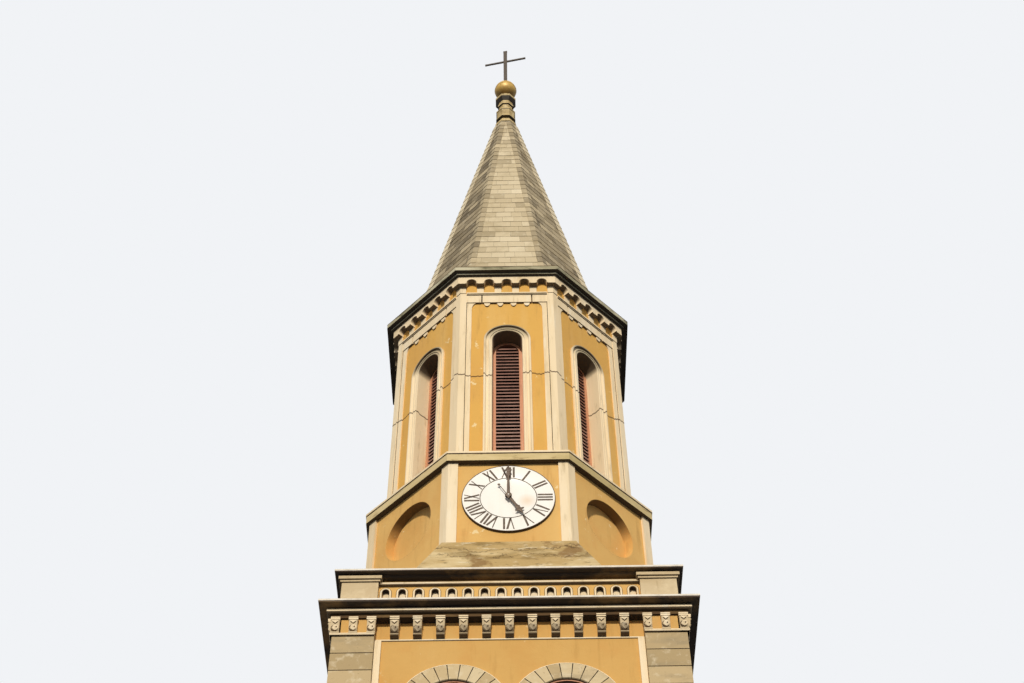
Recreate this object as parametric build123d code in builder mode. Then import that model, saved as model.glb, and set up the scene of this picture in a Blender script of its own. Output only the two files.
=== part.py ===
from build123d import *
from math import atan, ceil, cos, degrees, pi, sin, tan
import os

os.makedirs("parts", exist_ok=True)

# The clock tower of a church, with its origin on the ground at the middle of the
# tower. The front, with the door, looks along -Y, and +Z is up. All sizes are in
# millimetres. A half width of the square shaft, and an apothem of the octagonal
# stages, are both measured from the tower's axis to a flat face.

# Square shaft
shaft_half = 2460.0
shaft_wall = 650.0
ground_storey = 6000.0
middle_storey = 6000.0
upper_storey = 5270.0
floor_thickness = 200.0
plinth_height = 900.0
plinth_face = 190.0
plinth_bevel = 76.0
string_height = 250.0
string_face = 170.0
string_slope = 90.0
string_bevel = 85.0

# Corner quoins with a narrow margin of stone beside them
quoin_face = 108.0
quoin_width = 613.0
margin_face = 45.0
margin_width = 110.0

# Round-headed windows of the shaft
window_half = 540.0
window_rise = 2460.0
pair_spacing = 1600.0
upper_sill_rise = 950.0
middle_sill_rise = 1350.0
stone_surround = 258.0
surround_face = 40.0
sill_height = 160.0
sill_face = 110.0
sill_end = 55.0
window_depth = 170.0
frame_width = 70.0
frame_depth = 80.0
glass_thickness = 12.0
window_sides = 8

# Doorway in the front
door_half = 800.0
door_rise = 2500.0
door_depth = 260.0
door_thickness = 70.0
door_gap = 6.0
portal_width = 280.0
portal_face = 230.0

# Main cornice, its bed and its scrolled brackets
bed_step = 70.0
bed_height = 150.0
bed_face = 140.0
bed_fillet_height = 40.0
bed_fillet_face = 190.0
cornice_height = 60.0
cornice_face = 330.0
bracket_height = 320.0
bracket_width = 130.0
bracket_face = 182.0
bracket_margin = 285.0
bracket_count = 11
pier_bracket_pitch = 262.0
pier_bracket_count = 3
pier_bracket_inset = 300.0
frieze_line_height = 45.0
frieze_line_face = 55.0

# Low attic with its blind niches
attic_height = 670.0
attic_set_back = 40.0
attic_wall = 420.0
attic_pier_face = 50.0
attic_pier_width = 600.0
attic_cap_height = 70.0
attic_cap_face = 50.0
attic_line_height = 40.0
attic_line_face = 55.0
niche_half = 58.0
niche_foot = 120.0
niche_crown = 500.0
niche_depth = 100.0
niche_margin = 59.0
niche_count = 16
niche_sides = 3
attic_cornice_height = 80.0
attic_cornice_face = 112.0
attic_cornice_step = 30.0
attic_bed_face = 80.0

# Sloped stone aprons at the foot of the octagon
apron_height = 730.0
apron_top_half = 1040.0
apron_foot_half = 1425.0
apron_set_back = 37.0
apron_top_face = 46.0

# Octagonal clock stage
clock_stage_height = 2590.0
octagon_set_back = 90.0
clock_stage_wall = 400.0
clock_strip_face = 40.0
clock_strip_width = 160.0
roundel_radius = 560.0
roundel_depth = 170.0
roundel_sides = 16

# Clock dial and hands
dial_margin = 66.5
dial_head_gap = 75.0
dial_thickness = 40.0
dial_sides = 32
arbor_radius = 14.0
arbor_clearance = 0.05
arbor_length = 84.0
hand_thickness = 12.0
hour_standoff = 34.0
minute_standoff = 62.0
hub_radius = 46.0
hour_tip_gap = 285.0
hour_tail_gap = 425.0
hour_leaf_half = 44.0
hour_leaf_length = 200.0
hour_leaf_tip = 70.0
hour_bar_half = 72.0
hour_bar_drop = 208.0
minute_tip_gap = 55.0
minute_tail_gap = 605.0
minute_leaf_half = 40.0
minute_leaf_length = 230.0
minute_leaf_tip = 40.0
minute_bar_half = 58.0
minute_bar_drop = 200.0
hour_turn = 150.0
hand_root_half = 17.0
hand_neck_half = 10.0
hand_tip_half = 6.0
tail_half = 7.0
tail_ball = 20.0
hub_sides = 8
ball_end_sides = 6

# Ledge between the clock stage and the belfry
ledge_height = 210.0
ledge_face = 100.0
ledge_lip = 10.0
ledge_lip_height = 35.0

# Octagonal belfry
belfry_height = 5200.0
belfry_set_back = 255.0
belfry_wall = 350.0
belfry_pilaster_face = 49.0
belfry_pilaster_width = 118.0
belfry_strip_face = 24.0
belfry_strip_width = 100.0
louvre_half = 283.5
louvre_sill = 180.0
louvre_drop = 1130.0
louvre_sides = 6
architrave_width = 148.0
architrave_face = 46.0
architrave_step = 74.0
architrave_step_face = 20.0
shutter_frame_width = 72.0
shutter_frame_depth = 75.0
slat_pitch = 103.0
slat_run = 46.0
slat_thickness = 14.0
slat_back_gap = 8.0
band_height = 220.0
band_face = 40.0
band_line_height = 50.0
band_line_face = 75.0
notch_width = 24.0
notch_share = 0.62
pendant_count = 4
pendant_half = 56.0
pendant_drop = 95.0
pendant_pitch = 250.0
haunch_width = 96.0
haunch_drop = 200.0
corbel_face = 160.0
corbel_height = 390.0
corbel_width = 128.0
corbel_end = 88.0
corbel_arches = 5
corbel_arch_sides = 4
corbel_crown = 80.0
corbel_drop = 30.0
corbel_shaft_face = 60.0

# Eaves and spire
eaves_height = 150.0
eaves_face = 293.0
eaves_bed_height = 40.0
eaves_bed_face = 215.0
spire_set_back = 160.0
spire_top_apothem = 255.0
spire_height = 9140.0
spire_shell = 110.0
spire_flare = 60.0
spire_flare_height = 330.0

# Finial, ball and cross
neck_height = 1657.0
neck_radius = 150.0
neck_ring = 45.0
neck_cap_radius = 250.0
neck_top_radius = 90.0
ball_radius = 275.0
ball_sink = 22.0
ball_bands = 8
ball_sides = 16
cross_height = 1890.0
cross_bar = 56.0
cross_post = 86.0
cross_thickness = 34.0
cross_span = 1040.0
cross_arm_height = 1320.0
cross_turn = 10.0

# Open joint between neighbouring stones that share a course, and how far a cut runs past
# the face it opens
joint_gap = 2.0
cut_past = 2.0

# Levels and faces that follow from the sizes above
neighbour = 45.0
shaft_room = shaft_half - shaft_wall
first_floor_level = ground_storey
window_floor_level = first_floor_level + middle_storey
bed_foot = window_floor_level + upper_storey
middle_sill = first_floor_level + string_height + middle_sill_rise
middle_spring = middle_sill + window_rise
upper_sill = window_floor_level + string_height + upper_sill_rise
upper_spring = upper_sill + window_rise
door_sill = floor_thickness
door_spring = door_sill + door_rise
bed_top = bed_foot + bed_height
frieze_top = bed_foot - bracket_height
frieze_foot = frieze_top - frieze_line_height
attic_foot = bed_top + cornice_height
attic_top = attic_foot + attic_height
octagon_foot = attic_top + attic_cornice_height
ledge_foot = octagon_foot + clock_stage_height
belfry_foot = ledge_foot + ledge_height
eaves_foot = belfry_foot + belfry_height
spire_foot = eaves_foot + eaves_height
spire_top = spire_foot + spire_height
ball_level = spire_top + neck_height + ball_radius - ball_sink
cross_foot = ball_level + ball_radius - ball_sink
quoin_half = shaft_half + quoin_face
quoin_edge = quoin_half - quoin_width
attic_half = shaft_half - attic_set_back
attic_pier_half = shaft_half + attic_pier_face
attic_cornice_half = attic_pier_half + attic_cornice_face
clock_stage_apothem = attic_half - octagon_set_back
clock_strip_apothem = clock_stage_apothem + clock_strip_face
clock_panel_half = clock_strip_apothem * tan(pi / 8) - clock_strip_width
dial_radius = round(clock_panel_half - dial_margin)
clock_level = ledge_foot - dial_head_gap - dial_radius
belfry_apothem = clock_stage_apothem - belfry_set_back
spire_foot_apothem = belfry_apothem - spire_set_back
corbel_foot = eaves_foot - corbel_height
band_head = corbel_foot - band_line_height
band_foot = band_head - band_height
louvre_foot = belfry_foot + louvre_sill
louvre_head = band_foot - louvre_drop
belfry_face_half = (belfry_apothem + belfry_pilaster_face) * tan(pi / 8)
belfry_bay_half = belfry_face_half - belfry_pilaster_width
belfry_panel_half = belfry_bay_half - belfry_strip_width


# Plane of a wall that looks along -Y, with its height along Z
def wall_plane(distance):
    return Plane(origin=(0, -distance, 0), x_dir=(1, 0, 0), z_dir=(0, -1, 0))


# Points of a round arch from its right springing to its left one
def arch_points(centre, spring, radius, sides):
    turns = [pi * step / sides for step in range(sides + 1)]
    return [(centre + radius * cos(a), spring + radius * sin(a)) for a in turns]


# Face of a round-headed opening, from its sill to its crown
def arched_face(plane, half, sill, spring, sides, centre=0.0):
    with BuildSketch(plane) as face:
        with BuildLine():
            foot = [(centre - half, sill), (centre + half, sill)]
            Polyline(foot + arch_points(centre, spring, half, sides), close=True)
        make_face()
    return face.sketch


# Face of one closed outline in a plane
def outline_face(plane, points):
    with BuildSketch(plane) as face:
        with BuildLine():
            Polyline(points, close=True)
        make_face()
    return face.sketch


# Plan of one side's share of a course between an outer and an inner face, mitred at
# its two corners, with half an open joint at each end
def side_plan(level, outer, inner, sides):
    slope = tan(pi / sides)
    far = outer * slope - joint_gap / 2
    near = inner * slope - joint_gap / 2
    points = [(-far, -outer), (far, -outer), (near, -inner), (-near, -inner)]
    return outline_face(Plane.XY.offset(level), points)


# Plan of a whole regular course with its flats square to the axes
def full_plan(level, apothem, sides):
    with BuildSketch(Plane.XY.offset(level)) as plan:
        RegularPolygon(apothem, sides, major_radius=False, rotation=180 / sides)
    return plan.sketch


# Tapered course between two levels, from one apothem at its foot to another at its head
def frustum(low, high, low_apothem, high_apothem, sides, mode=Mode.ADD):
    slope = degrees(atan(abs(low_apothem - high_apothem) / (high - low)))
    if low_apothem >= high_apothem:
        extrude(full_plan(low, low_apothem, sides), amount=high - low, taper=slope, mode=mode)
    else:
        extrude(full_plan(high, high_apothem, sides), amount=low - high, taper=slope, mode=mode)


# Places of a row of pieces along a wall, centred on its middle
def row(count, pitch):
    return [(index - (count - 1) / 2) * pitch for index in range(count)]


# Plinth round the foot of the shaft, open at the doorway
with BuildPart() as plinth_side:
    extrude(side_plan(0, shaft_half + plinth_face, shaft_half, 4), amount=plinth_height)
    top_edges = plinth_side.faces().sort_by(Axis.Z)[-1].edges()
    chamfer(top_edges.sort_by(Axis.Y)[0], length=plinth_bevel)

with BuildPart() as plinth:
    with PolarLocations(0, 4):
        add(plinth_side.part)
    opening = 2 * (door_half + portal_width)
    with Locations((0, -shaft_half, plinth_height / 2)):
        Box(opening, 2 * plinth_face + cut_past, plinth_height + cut_past, mode=Mode.SUBTRACT)

plinth.part.label = "plinth"
export_step(plinth.part, "parts/plinth.step")


# Shaft walls: the front and back run over the ends of the two sides
def shaft_wall_part(length, with_door):
    with BuildPart() as wall:
        face = wall_plane(shaft_half)
        room = [(-length, 0), (length, 0), (length, bed_foot), (-length, bed_foot)]
        extrude(outline_face(face, room), amount=-shaft_wall)
        for centre in row(2, pair_spacing):
            hole = arched_face(face, window_half, upper_sill, upper_spring, window_sides, centre)
            extrude(hole, amount=-shaft_wall, mode=Mode.SUBTRACT)
        hole = arched_face(face, window_half, middle_sill, middle_spring, window_sides)
        extrude(hole, amount=-shaft_wall, mode=Mode.SUBTRACT)
        if with_door:
            hole = arched_face(face, door_half, door_sill, door_spring, window_sides)
            extrude(hole, amount=-shaft_wall, mode=Mode.SUBTRACT)
    return wall.part


wall_turns = {"front": 0, "right": 90, "back": 180, "left": 270}
for side, turn in wall_turns.items():
    is_long = side in ("front", "back")
    plain_wall = shaft_wall_part(shaft_half if is_long else shaft_room, side == "front")
    with BuildPart() as shaft_side:
        add(plain_wall.rotate(Axis.Z, turn))
    shaft_side.part.label = side + "_wall"
    export_step(shaft_side.part, "parts/" + side + "_wall.step")

# Floors of the three storeys of the shaft
with BuildPart() as floors:
    for top in (floor_thickness, first_floor_level, window_floor_level):
        extrude(full_plan(top, shaft_room, 4), amount=-floor_thickness)

floors.part.label = "floors"
export_step(floors.part, "parts/floors.step")

# String courses with a sloped top, wrapped round walls and quoins
with BuildPart() as string_side:
    for level in (first_floor_level, window_floor_level):
        reach = shaft_half + string_face
        extrude(side_plan(level, reach, shaft_half, 4), amount=string_height)
        front_top = string_side.edges().filter_by(Axis.X).group_by(Axis.Z)[-1].sort_by(Axis.Y)[0]
        chamfer(front_top, length=string_slope, length2=string_bevel)

with BuildPart() as string_courses:
    with PolarLocations(0, 4):
        add(string_side.part)

string_courses.part.label = "string_courses"
export_step(string_courses.part, "parts/string_courses.step")

# Corner quoins of each storey between plinth, courses and cornice, with a margin on each
# side of them that stops under the frieze line
with BuildPart() as quoin_corner:
    strip = shaft_half + margin_face
    storeys = (
        (plinth_height, first_floor_level, first_floor_level),
        (first_floor_level + string_height, window_floor_level, window_floor_level),
        (window_floor_level + string_height, bed_foot, frieze_foot),
    )
    leg = [(-quoin_edge, -quoin_half), (-quoin_edge, -shaft_half)]
    turned_leg = [(y, x) for x, y in reversed(leg)]
    points = [(-quoin_half, -quoin_half)] + leg + [(-shaft_half, -shaft_half)] + turned_leg
    margin = [(-quoin_edge, -shaft_half), (-quoin_edge, -strip)]
    margin += [(margin_width - quoin_edge, -strip), (margin_width - quoin_edge, -shaft_half)]
    turned_margin = [(y, x) for x, y in margin]
    for low, high, margin_high in storeys:
        extrude(outline_face(Plane.XY.offset(low), points), amount=high - low)
        extrude(outline_face(Plane.XY.offset(low), margin), amount=margin_high - low)
        extrude(outline_face(Plane.XY.offset(low), turned_margin), amount=margin_high - low)

with BuildPart() as corner_quoins:
    with PolarLocations(0, 4):
        add(quoin_corner.part)

corner_quoins.part.label = "corner_quoins"
export_step(corner_quoins.part, "parts/corner_quoins.step")

# Stone surrounds of the windows: one plate for the upper pair, one for the middle window
with BuildPart() as surround_side:
    face = wall_plane(shaft_half)
    outer = window_half + stone_surround
    for centre in row(2, pair_spacing):
        jamb = arched_face(face, outer, upper_sill, upper_spring, window_sides, centre)
        extrude(jamb, amount=surround_face)
    jamb = arched_face(face, outer, middle_sill, middle_spring, window_sides)
    extrude(jamb, amount=surround_face)
    for centre, sill, spring in (
        (-pair_spacing / 2, upper_sill, upper_spring),
        (pair_spacing / 2, upper_sill, upper_spring),
        (0.0, middle_sill, middle_spring),
    ):
        hole = arched_face(face, window_half, sill, spring, window_sides, centre)
        extrude(hole, amount=surround_face, mode=Mode.SUBTRACT)

with BuildPart() as window_surrounds:
    with PolarLocations(0, 4):
        add(surround_side.part)

window_surrounds.part.label = "window_surrounds"
export_step(window_surrounds.part, "parts/window_surrounds.step")

# Sills under the surrounds, with a sloped top
with BuildPart() as sill_side:
    face = wall_plane(shaft_half)
    outer = window_half + stone_surround + sill_end
    for reach, sill in ((outer + pair_spacing / 2, upper_sill), (outer, middle_sill)):
        foot = sill - sill_height
        corners = [(-reach, foot), (reach, foot), (reach, sill), (-reach, sill)]
        extrude(outline_face(face, corners), amount=sill_face)

with BuildPart() as window_sills:
    with PolarLocations(0, 4):
        add(sill_side.part)

window_sills.part.label = "window_sills"
export_step(window_sills.part, "parts/window_sills.step")

# Window frames and panes set back in their openings
with BuildPart() as frame_side:
    outer_face = wall_plane(shaft_half - window_depth)
    for centre, sill, spring in (
        (-pair_spacing / 2, upper_sill, upper_spring),
        (pair_spacing / 2, upper_sill, upper_spring),
        (0.0, middle_sill, middle_spring),
    ):
        rim = arched_face(outer_face, window_half, sill, spring, window_sides, centre)
        extrude(rim, amount=-frame_depth)
        clear = window_half - frame_width
        hole = arched_face(outer_face, clear, sill + frame_width, spring, window_sides, centre)
        extrude(hole, amount=-frame_depth, mode=Mode.SUBTRACT)

with BuildPart() as window_frames:
    with PolarLocations(0, 4):
        add(frame_side.part)

window_frames.part.label = "window_frames"
export_step(window_frames.part, "parts/window_frames.step")

with BuildPart() as glass_side:
    pane_face = wall_plane(shaft_half - window_depth - (frame_depth - glass_thickness) / 2)
    for centre, sill, spring in (
        (-pair_spacing / 2, upper_sill, upper_spring),
        (pair_spacing / 2, upper_sill, upper_spring),
        (0.0, middle_sill, middle_spring),
    ):
        clear = window_half - frame_width
        pane = arched_face(pane_face, clear, sill + frame_width, spring, window_sides, centre)
        extrude(pane, amount=-glass_thickness)

with BuildPart() as window_glass:
    with PolarLocations(0, 4):
        add(glass_side.part)

window_glass.part.label = "window_glass"
export_step(window_glass.part, "parts/window_glass.step")

# Stone portal round the doorway, standing on the ground
with BuildPart() as portal:
    face = wall_plane(shaft_half)
    outer = door_half + portal_width
    extrude(arched_face(face, outer, 0, door_spring, window_sides), amount=portal_face)
    hole = arched_face(face, door_half, door_sill, door_spring, window_sides)
    extrude(hole, amount=portal_face, mode=Mode.SUBTRACT)

portal.part.label = "portal"
export_step(portal.part, "parts/portal.step")

# The two leaves of the door, closed
with BuildPart() as entrance_doors:
    leaf_face = wall_plane(shaft_half - door_depth)
    extrude(
        arched_face(leaf_face, door_half, door_sill, door_spring, window_sides),
        amount=-door_thickness,
    )
    with Locations((0, -shaft_half + door_depth, (door_sill + door_spring + door_half) / 2)):
        Box(door_gap, 3 * door_thickness, 2 * door_spring, mode=Mode.SUBTRACT)

entrance_doors.part.label = "entrance_doors"
export_step(entrance_doors.part, "parts/entrance_doors.step")

# Bed of the main cornice with a fillet round it, and the thin projecting slab over it
with BuildPart() as cornice_bed:
    extrude(full_plan(bed_foot, shaft_half + bed_face, 4), amount=bed_height)
    fillet_plan = full_plan(bed_foot + bed_step, shaft_half + bed_fillet_face, 4)
    extrude(fillet_plan, amount=bed_fillet_height)

cornice_bed.part.label = "cornice_bed"
export_step(cornice_bed.part, "parts/cornice_bed.step")

with BuildPart() as main_cornice:
    extrude(full_plan(bed_top, shaft_half + cornice_face, 4), amount=cornice_height)

main_cornice.part.label = "main_cornice"
export_step(main_cornice.part, "parts/main_cornice.step")


# Side outline of a scrolled bracket: a large scroll over a small one, with a flat back
def bracket_outline(back):
    depth = shaft_half + bracket_face - back
    top = bed_foot
    front = [(1.0, 0.0), (0.96, 0.34)]
    belly = [(0.62, 0.54), (0.6, 0.78), (0.3, 1.0)]
    curve = [(-back - depth * out, top - bracket_height * down) for out, down in front + belly]
    return [(-back, top)] + curve + [(-back, top - bracket_height)]


# Scrolled brackets under the cornice: a row on each wall and three on each quoin
with BuildPart() as bracket_side:
    pier_row = row(pier_bracket_count, pier_bracket_pitch)
    bracket_reach = quoin_edge - bracket_margin
    bracket_pitch = 2 * bracket_reach / (bracket_count - 1)
    places = [(x, shaft_half) for x in row(bracket_count, bracket_pitch)]
    for turn in (-1, 1):
        centre = turn * (quoin_half - pier_bracket_inset)
        places += [(centre + x, quoin_half) for x in pier_row]
    for x, back in places:
        section = outline_face(Plane.YZ.offset(x - bracket_width / 2), bracket_outline(back))
        extrude(section, amount=bracket_width)

with BuildPart() as brackets:
    with PolarLocations(0, 4):
        add(bracket_side.part)

brackets.part.label = "cornice_brackets"
export_step(brackets.part, "parts/cornice_brackets.step")

# Thin mouldings: one under the brackets, between the quoins, and one over the niches
with BuildPart() as moulding_side:
    corners = [(-quoin_edge, frieze_foot), (quoin_edge, frieze_foot)]
    corners += [(quoin_edge, frieze_top), (-quoin_edge, frieze_top)]
    extrude(outline_face(wall_plane(shaft_half), corners), amount=frieze_line_face)
    line_reach = attic_pier_half - attic_pier_width
    line_top = attic_top - attic_cap_height
    line_foot = line_top - attic_line_height
    corners = [(-line_reach, line_foot), (line_reach, line_foot)]
    corners += [(line_reach, line_top), (-line_reach, line_top)]
    extrude(outline_face(wall_plane(attic_half), corners), amount=attic_line_face)

with BuildPart() as frieze_mouldings:
    with PolarLocations(0, 4):
        add(moulding_side.part)

frieze_mouldings.part.label = "frieze_mouldings"
export_step(frieze_mouldings.part, "parts/frieze_mouldings.step")

# Attic walls between the corner piers, each with a row of blind round-headed niches
with BuildPart() as attic_side:
    reach = attic_pier_half - attic_pier_width
    face = wall_plane(attic_half)
    corners = [(-reach, attic_foot), (reach, attic_foot), (reach, attic_top), (-reach, attic_top)]
    extrude(outline_face(face, corners), amount=-attic_wall)
    foot = attic_foot + niche_foot
    spring = attic_foot + niche_crown - niche_half
    niche_pitch = 2 * (reach - niche_margin) / (niche_count - 1)
    for x in row(niche_count, niche_pitch):
        niche = arched_face(face, niche_half, foot, spring, niche_sides, x)
        extrude(niche, amount=-niche_depth, mode=Mode.SUBTRACT)

with BuildPart() as attic_walls:
    with PolarLocations(0, 4):
        add(attic_side.part)

attic_walls.part.label = "attic_walls"
export_step(attic_walls.part, "parts/attic_walls.step")

# Attic corner piers with their caps
with BuildPart() as attic_pier:
    centre = -attic_pier_half + attic_pier_width / 2
    with BuildSketch(Plane.XY.offset(attic_foot)):
        with Locations((centre, centre)):
            Rectangle(attic_pier_width, attic_pier_width)
    extrude(amount=attic_height)
    with BuildSketch(Plane.XY.offset(attic_top - attic_cap_height)):
        with Locations((centre - attic_cap_face / 2, centre - attic_cap_face / 2)):
            Rectangle(attic_pier_width + attic_cap_face, attic_pier_width + attic_cap_face)
    extrude(amount=attic_cap_height)

with BuildPart() as attic_piers:
    with PolarLocations(0, 4):
        add(attic_pier.part)

attic_piers.part.label = "attic_piers"
export_step(attic_piers.part, "parts/attic_piers.step")

with BuildPart() as attic_cornice:
    extrude(full_plan(attic_top, attic_half + attic_bed_face, 4), amount=attic_cornice_step)
    rest = attic_cornice_height - attic_cornice_step
    extrude(full_plan(attic_top + attic_cornice_step, attic_cornice_half, 4), amount=rest)

attic_cornice.part.label = "attic_cornice"
export_step(attic_cornice.part, "parts/attic_cornice.step")

# Sloped aprons of rough stone against the four cardinal faces of the octagon
with BuildPart() as apron_side:
    back = clock_strip_apothem * cos(pi / 4)
    foot_front = attic_cornice_half - apron_set_back
    apron_top = octagon_foot + apron_height
    profile = [(-back, octagon_foot), (-foot_front, octagon_foot)]
    profile += [(-clock_strip_apothem - apron_top_face, apron_top), (-back, apron_top)]
    section = outline_face(Plane.YZ.offset(-apron_foot_half), profile)
    extrude(section, amount=2 * apron_foot_half)
    outline = [(-apron_foot_half, octagon_foot), (apron_foot_half, octagon_foot)]
    outline += [(apron_top_half, apron_top), (-apron_top_half, apron_top)]
    front_share = outline_face(wall_plane(foot_front), outline)
    extrude(front_share, amount=-foot_front, mode=Mode.INTERSECT)
    core = full_plan(octagon_foot, clock_strip_apothem, 8)
    extrude(core, amount=apron_height, mode=Mode.SUBTRACT)

with BuildPart() as aprons:
    with PolarLocations(0, 4):
        add(apron_side.part)

aprons.part.label = "stone_aprons"
export_step(aprons.part, "parts/stone_aprons.step")

# Clock stage: eight wall segments, plain behind the clock and with a round recess elsewhere
with BuildPart() as clock_side:
    inner = clock_stage_apothem - clock_stage_wall
    extrude(side_plan(octagon_foot, clock_stage_apothem, inner, 8), amount=clock_stage_height)

with BuildPart() as roundel_side:
    add(clock_side.part)
    with BuildSketch(wall_plane(clock_stage_apothem)) as roundel:
        with Locations((0, clock_level)):
            RegularPolygon(roundel_radius, roundel_sides)
    extrude(roundel.sketch, amount=-roundel_depth, mode=Mode.SUBTRACT)

with BuildPart() as clock_stage_walls:
    add(clock_side.part)
    for step in range(1, 8):
        add(roundel_side.part.rotate(Axis.Z, step * neighbour))

clock_stage_walls.part.label = "clock_stage_walls"
export_step(clock_stage_walls.part, "parts/clock_stage_walls.step")

# Flat strips that fold round the corners of the clock stage
with BuildPart() as clock_strips:
    extrude(full_plan(octagon_foot, clock_strip_apothem, 8), amount=clock_stage_height)
    core = full_plan(octagon_foot, clock_stage_apothem, 8)
    extrude(core, amount=clock_stage_height, mode=Mode.SUBTRACT)
    with PolarLocations(clock_strip_apothem, 8):
        with Locations((0, 0, octagon_foot + clock_stage_height / 2)):
            Box(4 * clock_strip_face, 2 * clock_panel_half, clock_stage_height, mode=Mode.SUBTRACT)

clock_strips.part.label = "clock_stage_strips"
export_step(clock_strips.part, "parts/clock_stage_strips.step")

# Clock dial on the front, with the arbor that carries its hands
with BuildPart() as clock_dial:
    with BuildSketch(wall_plane(clock_stage_apothem)) as disc:
        with Locations((0, clock_level)):
            RegularPolygon(dial_radius, dial_sides)
    extrude(disc.sketch, amount=dial_thickness)
    with BuildSketch(wall_plane(clock_stage_apothem + dial_thickness)) as arbor:
        with Locations((0, clock_level)):
            Circle(arbor_radius)
    extrude(arbor.sketch, amount=arbor_length)

clock_dial.part.label = "clock_dial"
export_step(clock_dial.part, "parts/clock_dial.step")


# Flat clock hand: a tapered blade with a leaf and a cross-piece, a tail that ends in a
# ball, and a hub bored for the arbor. It points straight up in its own plane.
def hand_part(standoff, length, tail, leaf, leaf_tip, leaf_half, bar_drop, bar_half):
    leaf_high = length - leaf_tip
    leaf_low = leaf_high - leaf
    leaf_widest = leaf_low + leaf / 3
    with BuildPart() as hand:
        distance = clock_stage_apothem + dial_thickness + standoff
        pivot = Plane(origin=(0, -distance, clock_level), x_dir=(1, 0, 0), z_dir=(0, -1, 0))
        with BuildSketch(pivot) as blade:
            with BuildLine():
                right = [(hand_root_half, 0), (hand_neck_half, leaf_low)]
                right += [(leaf_half, leaf_widest), (hand_tip_half, leaf_high)]
                right += [(hand_tip_half / 2, length)]
                left = [(-x, z) for x, z in reversed(right)]
                Polyline(right + left, close=True)
            make_face()
            with Locations((0, length - bar_drop)):
                Rectangle(2 * bar_half, 2 * hand_root_half)
            with Locations((0, -tail / 2)):
                Rectangle(2 * tail_half, tail)
            with Locations((0, -tail)):
                RegularPolygon(tail_ball, ball_end_sides)
            RegularPolygon(hub_radius, hub_sides)
            Circle(arbor_radius + arbor_clearance, mode=Mode.SUBTRACT)
        extrude(blade.sketch, amount=hand_thickness)
    return hand.part


hour_blade = hand_part(
    hour_standoff,
    dial_radius - hour_tip_gap,
    dial_radius - hour_tail_gap,
    hour_leaf_length,
    hour_leaf_tip,
    hour_leaf_half,
    hour_bar_drop,
    hour_bar_half,
)
minute_blade = hand_part(
    minute_standoff,
    dial_radius - minute_tip_gap,
    dial_radius - minute_tail_gap,
    minute_leaf_length,
    minute_leaf_tip,
    minute_leaf_half,
    minute_bar_drop,
    minute_bar_half,
)

# The hands show five o'clock
with BuildPart() as hour_hand:
    add(hour_blade.rotate(Axis((0, 0, clock_level), (0, 1, 0)), hour_turn))

hour_hand.part.label = "hour_hand"
export_step(hour_hand.part, "parts/hour_hand.step")

with BuildPart() as minute_hand:
    add(minute_blade)

minute_hand.part.label = "minute_hand"
export_step(minute_hand.part, "parts/minute_hand.step")

# Ledge that carries the belfry, with a thin lip along its top
with BuildPart() as ledge:
    ledge_apothem = clock_stage_apothem + ledge_face
    extrude(full_plan(ledge_foot, ledge_apothem, 8), amount=ledge_height - ledge_lip_height)
    lip_foot = belfry_foot - ledge_lip_height
    extrude(full_plan(lip_foot, ledge_apothem + ledge_lip, 8), amount=ledge_lip_height)

ledge.part.label = "belfry_ledge"
export_step(ledge.part, "parts/belfry_ledge.step")

# Belfry: eight wall segments, each with a round-headed opening for its louvres
with BuildPart() as belfry_side:
    inner = belfry_apothem - belfry_wall
    extrude(side_plan(belfry_foot, belfry_apothem, inner, 8), amount=belfry_height)
    face = wall_plane(belfry_apothem)
    hole = arched_face(face, louvre_half, louvre_foot, louvre_head, louvre_sides)
    extrude(hole, amount=-belfry_wall, mode=Mode.SUBTRACT)

with BuildPart() as belfry_walls:
    with PolarLocations(0, 8):
        add(belfry_side.part)

belfry_walls.part.label = "belfry_walls"
export_step(belfry_walls.part, "parts/belfry_walls.step")

# Corner pilasters of the belfry with a lower strip on each side of them, which stops under
# the band
with BuildPart() as belfry_pilasters:
    pilaster_apothem = belfry_apothem + belfry_pilaster_face
    strip_apothem = belfry_apothem + belfry_strip_face
    pilaster_height = corbel_foot - belfry_foot
    extrude(full_plan(belfry_foot, pilaster_apothem, 8), amount=pilaster_height)
    core = full_plan(belfry_foot, belfry_apothem, 8)
    extrude(core, amount=pilaster_height, mode=Mode.SUBTRACT)
    bay = 2 * belfry_bay_half
    middle = belfry_foot + pilaster_height / 2
    with PolarLocations(strip_apothem + belfry_pilaster_face, 8):
        with Locations((0, 0, middle)):
            Box(2 * belfry_pilaster_face, bay, pilaster_height, mode=Mode.SUBTRACT)
    with PolarLocations(belfry_apothem, 8):
        with Locations((0, 0, middle)):
            panel = 2 * belfry_panel_half
            Box(4 * belfry_pilaster_face, panel, pilaster_height, mode=Mode.SUBTRACT)
        with Locations((0, 0, (band_foot + corbel_foot) / 2)):
            Box(4 * belfry_pilaster_face, bay, corbel_foot - band_foot, mode=Mode.SUBTRACT)

belfry_pilasters.part.label = "belfry_pilasters"
export_step(belfry_pilasters.part, "parts/belfry_pilasters.step")

# Moulded architraves round the louvred openings, in two steps
with BuildPart() as architrave_side:
    face = wall_plane(belfry_apothem)
    outer = louvre_half + architrave_width
    raised = louvre_half + architrave_step
    rim = arched_face(face, outer, belfry_foot, louvre_head, louvre_sides)
    extrude(rim, amount=architrave_face)
    back = wall_plane(belfry_apothem + architrave_step_face)
    rebate = arched_face(back, raised, belfry_foot, louvre_head, louvre_sides)
    extrude(rebate, amount=architrave_face, mode=Mode.SUBTRACT)
    hole = arched_face(face, louvre_half, louvre_foot, louvre_head, louvre_sides)
    extrude(hole, amount=architrave_face, mode=Mode.SUBTRACT)

with BuildPart() as architraves:
    with PolarLocations(0, 8):
        add(architrave_side.part)

architraves.part.label = "architraves"
export_step(architraves.part, "parts/architraves.step")

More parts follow.
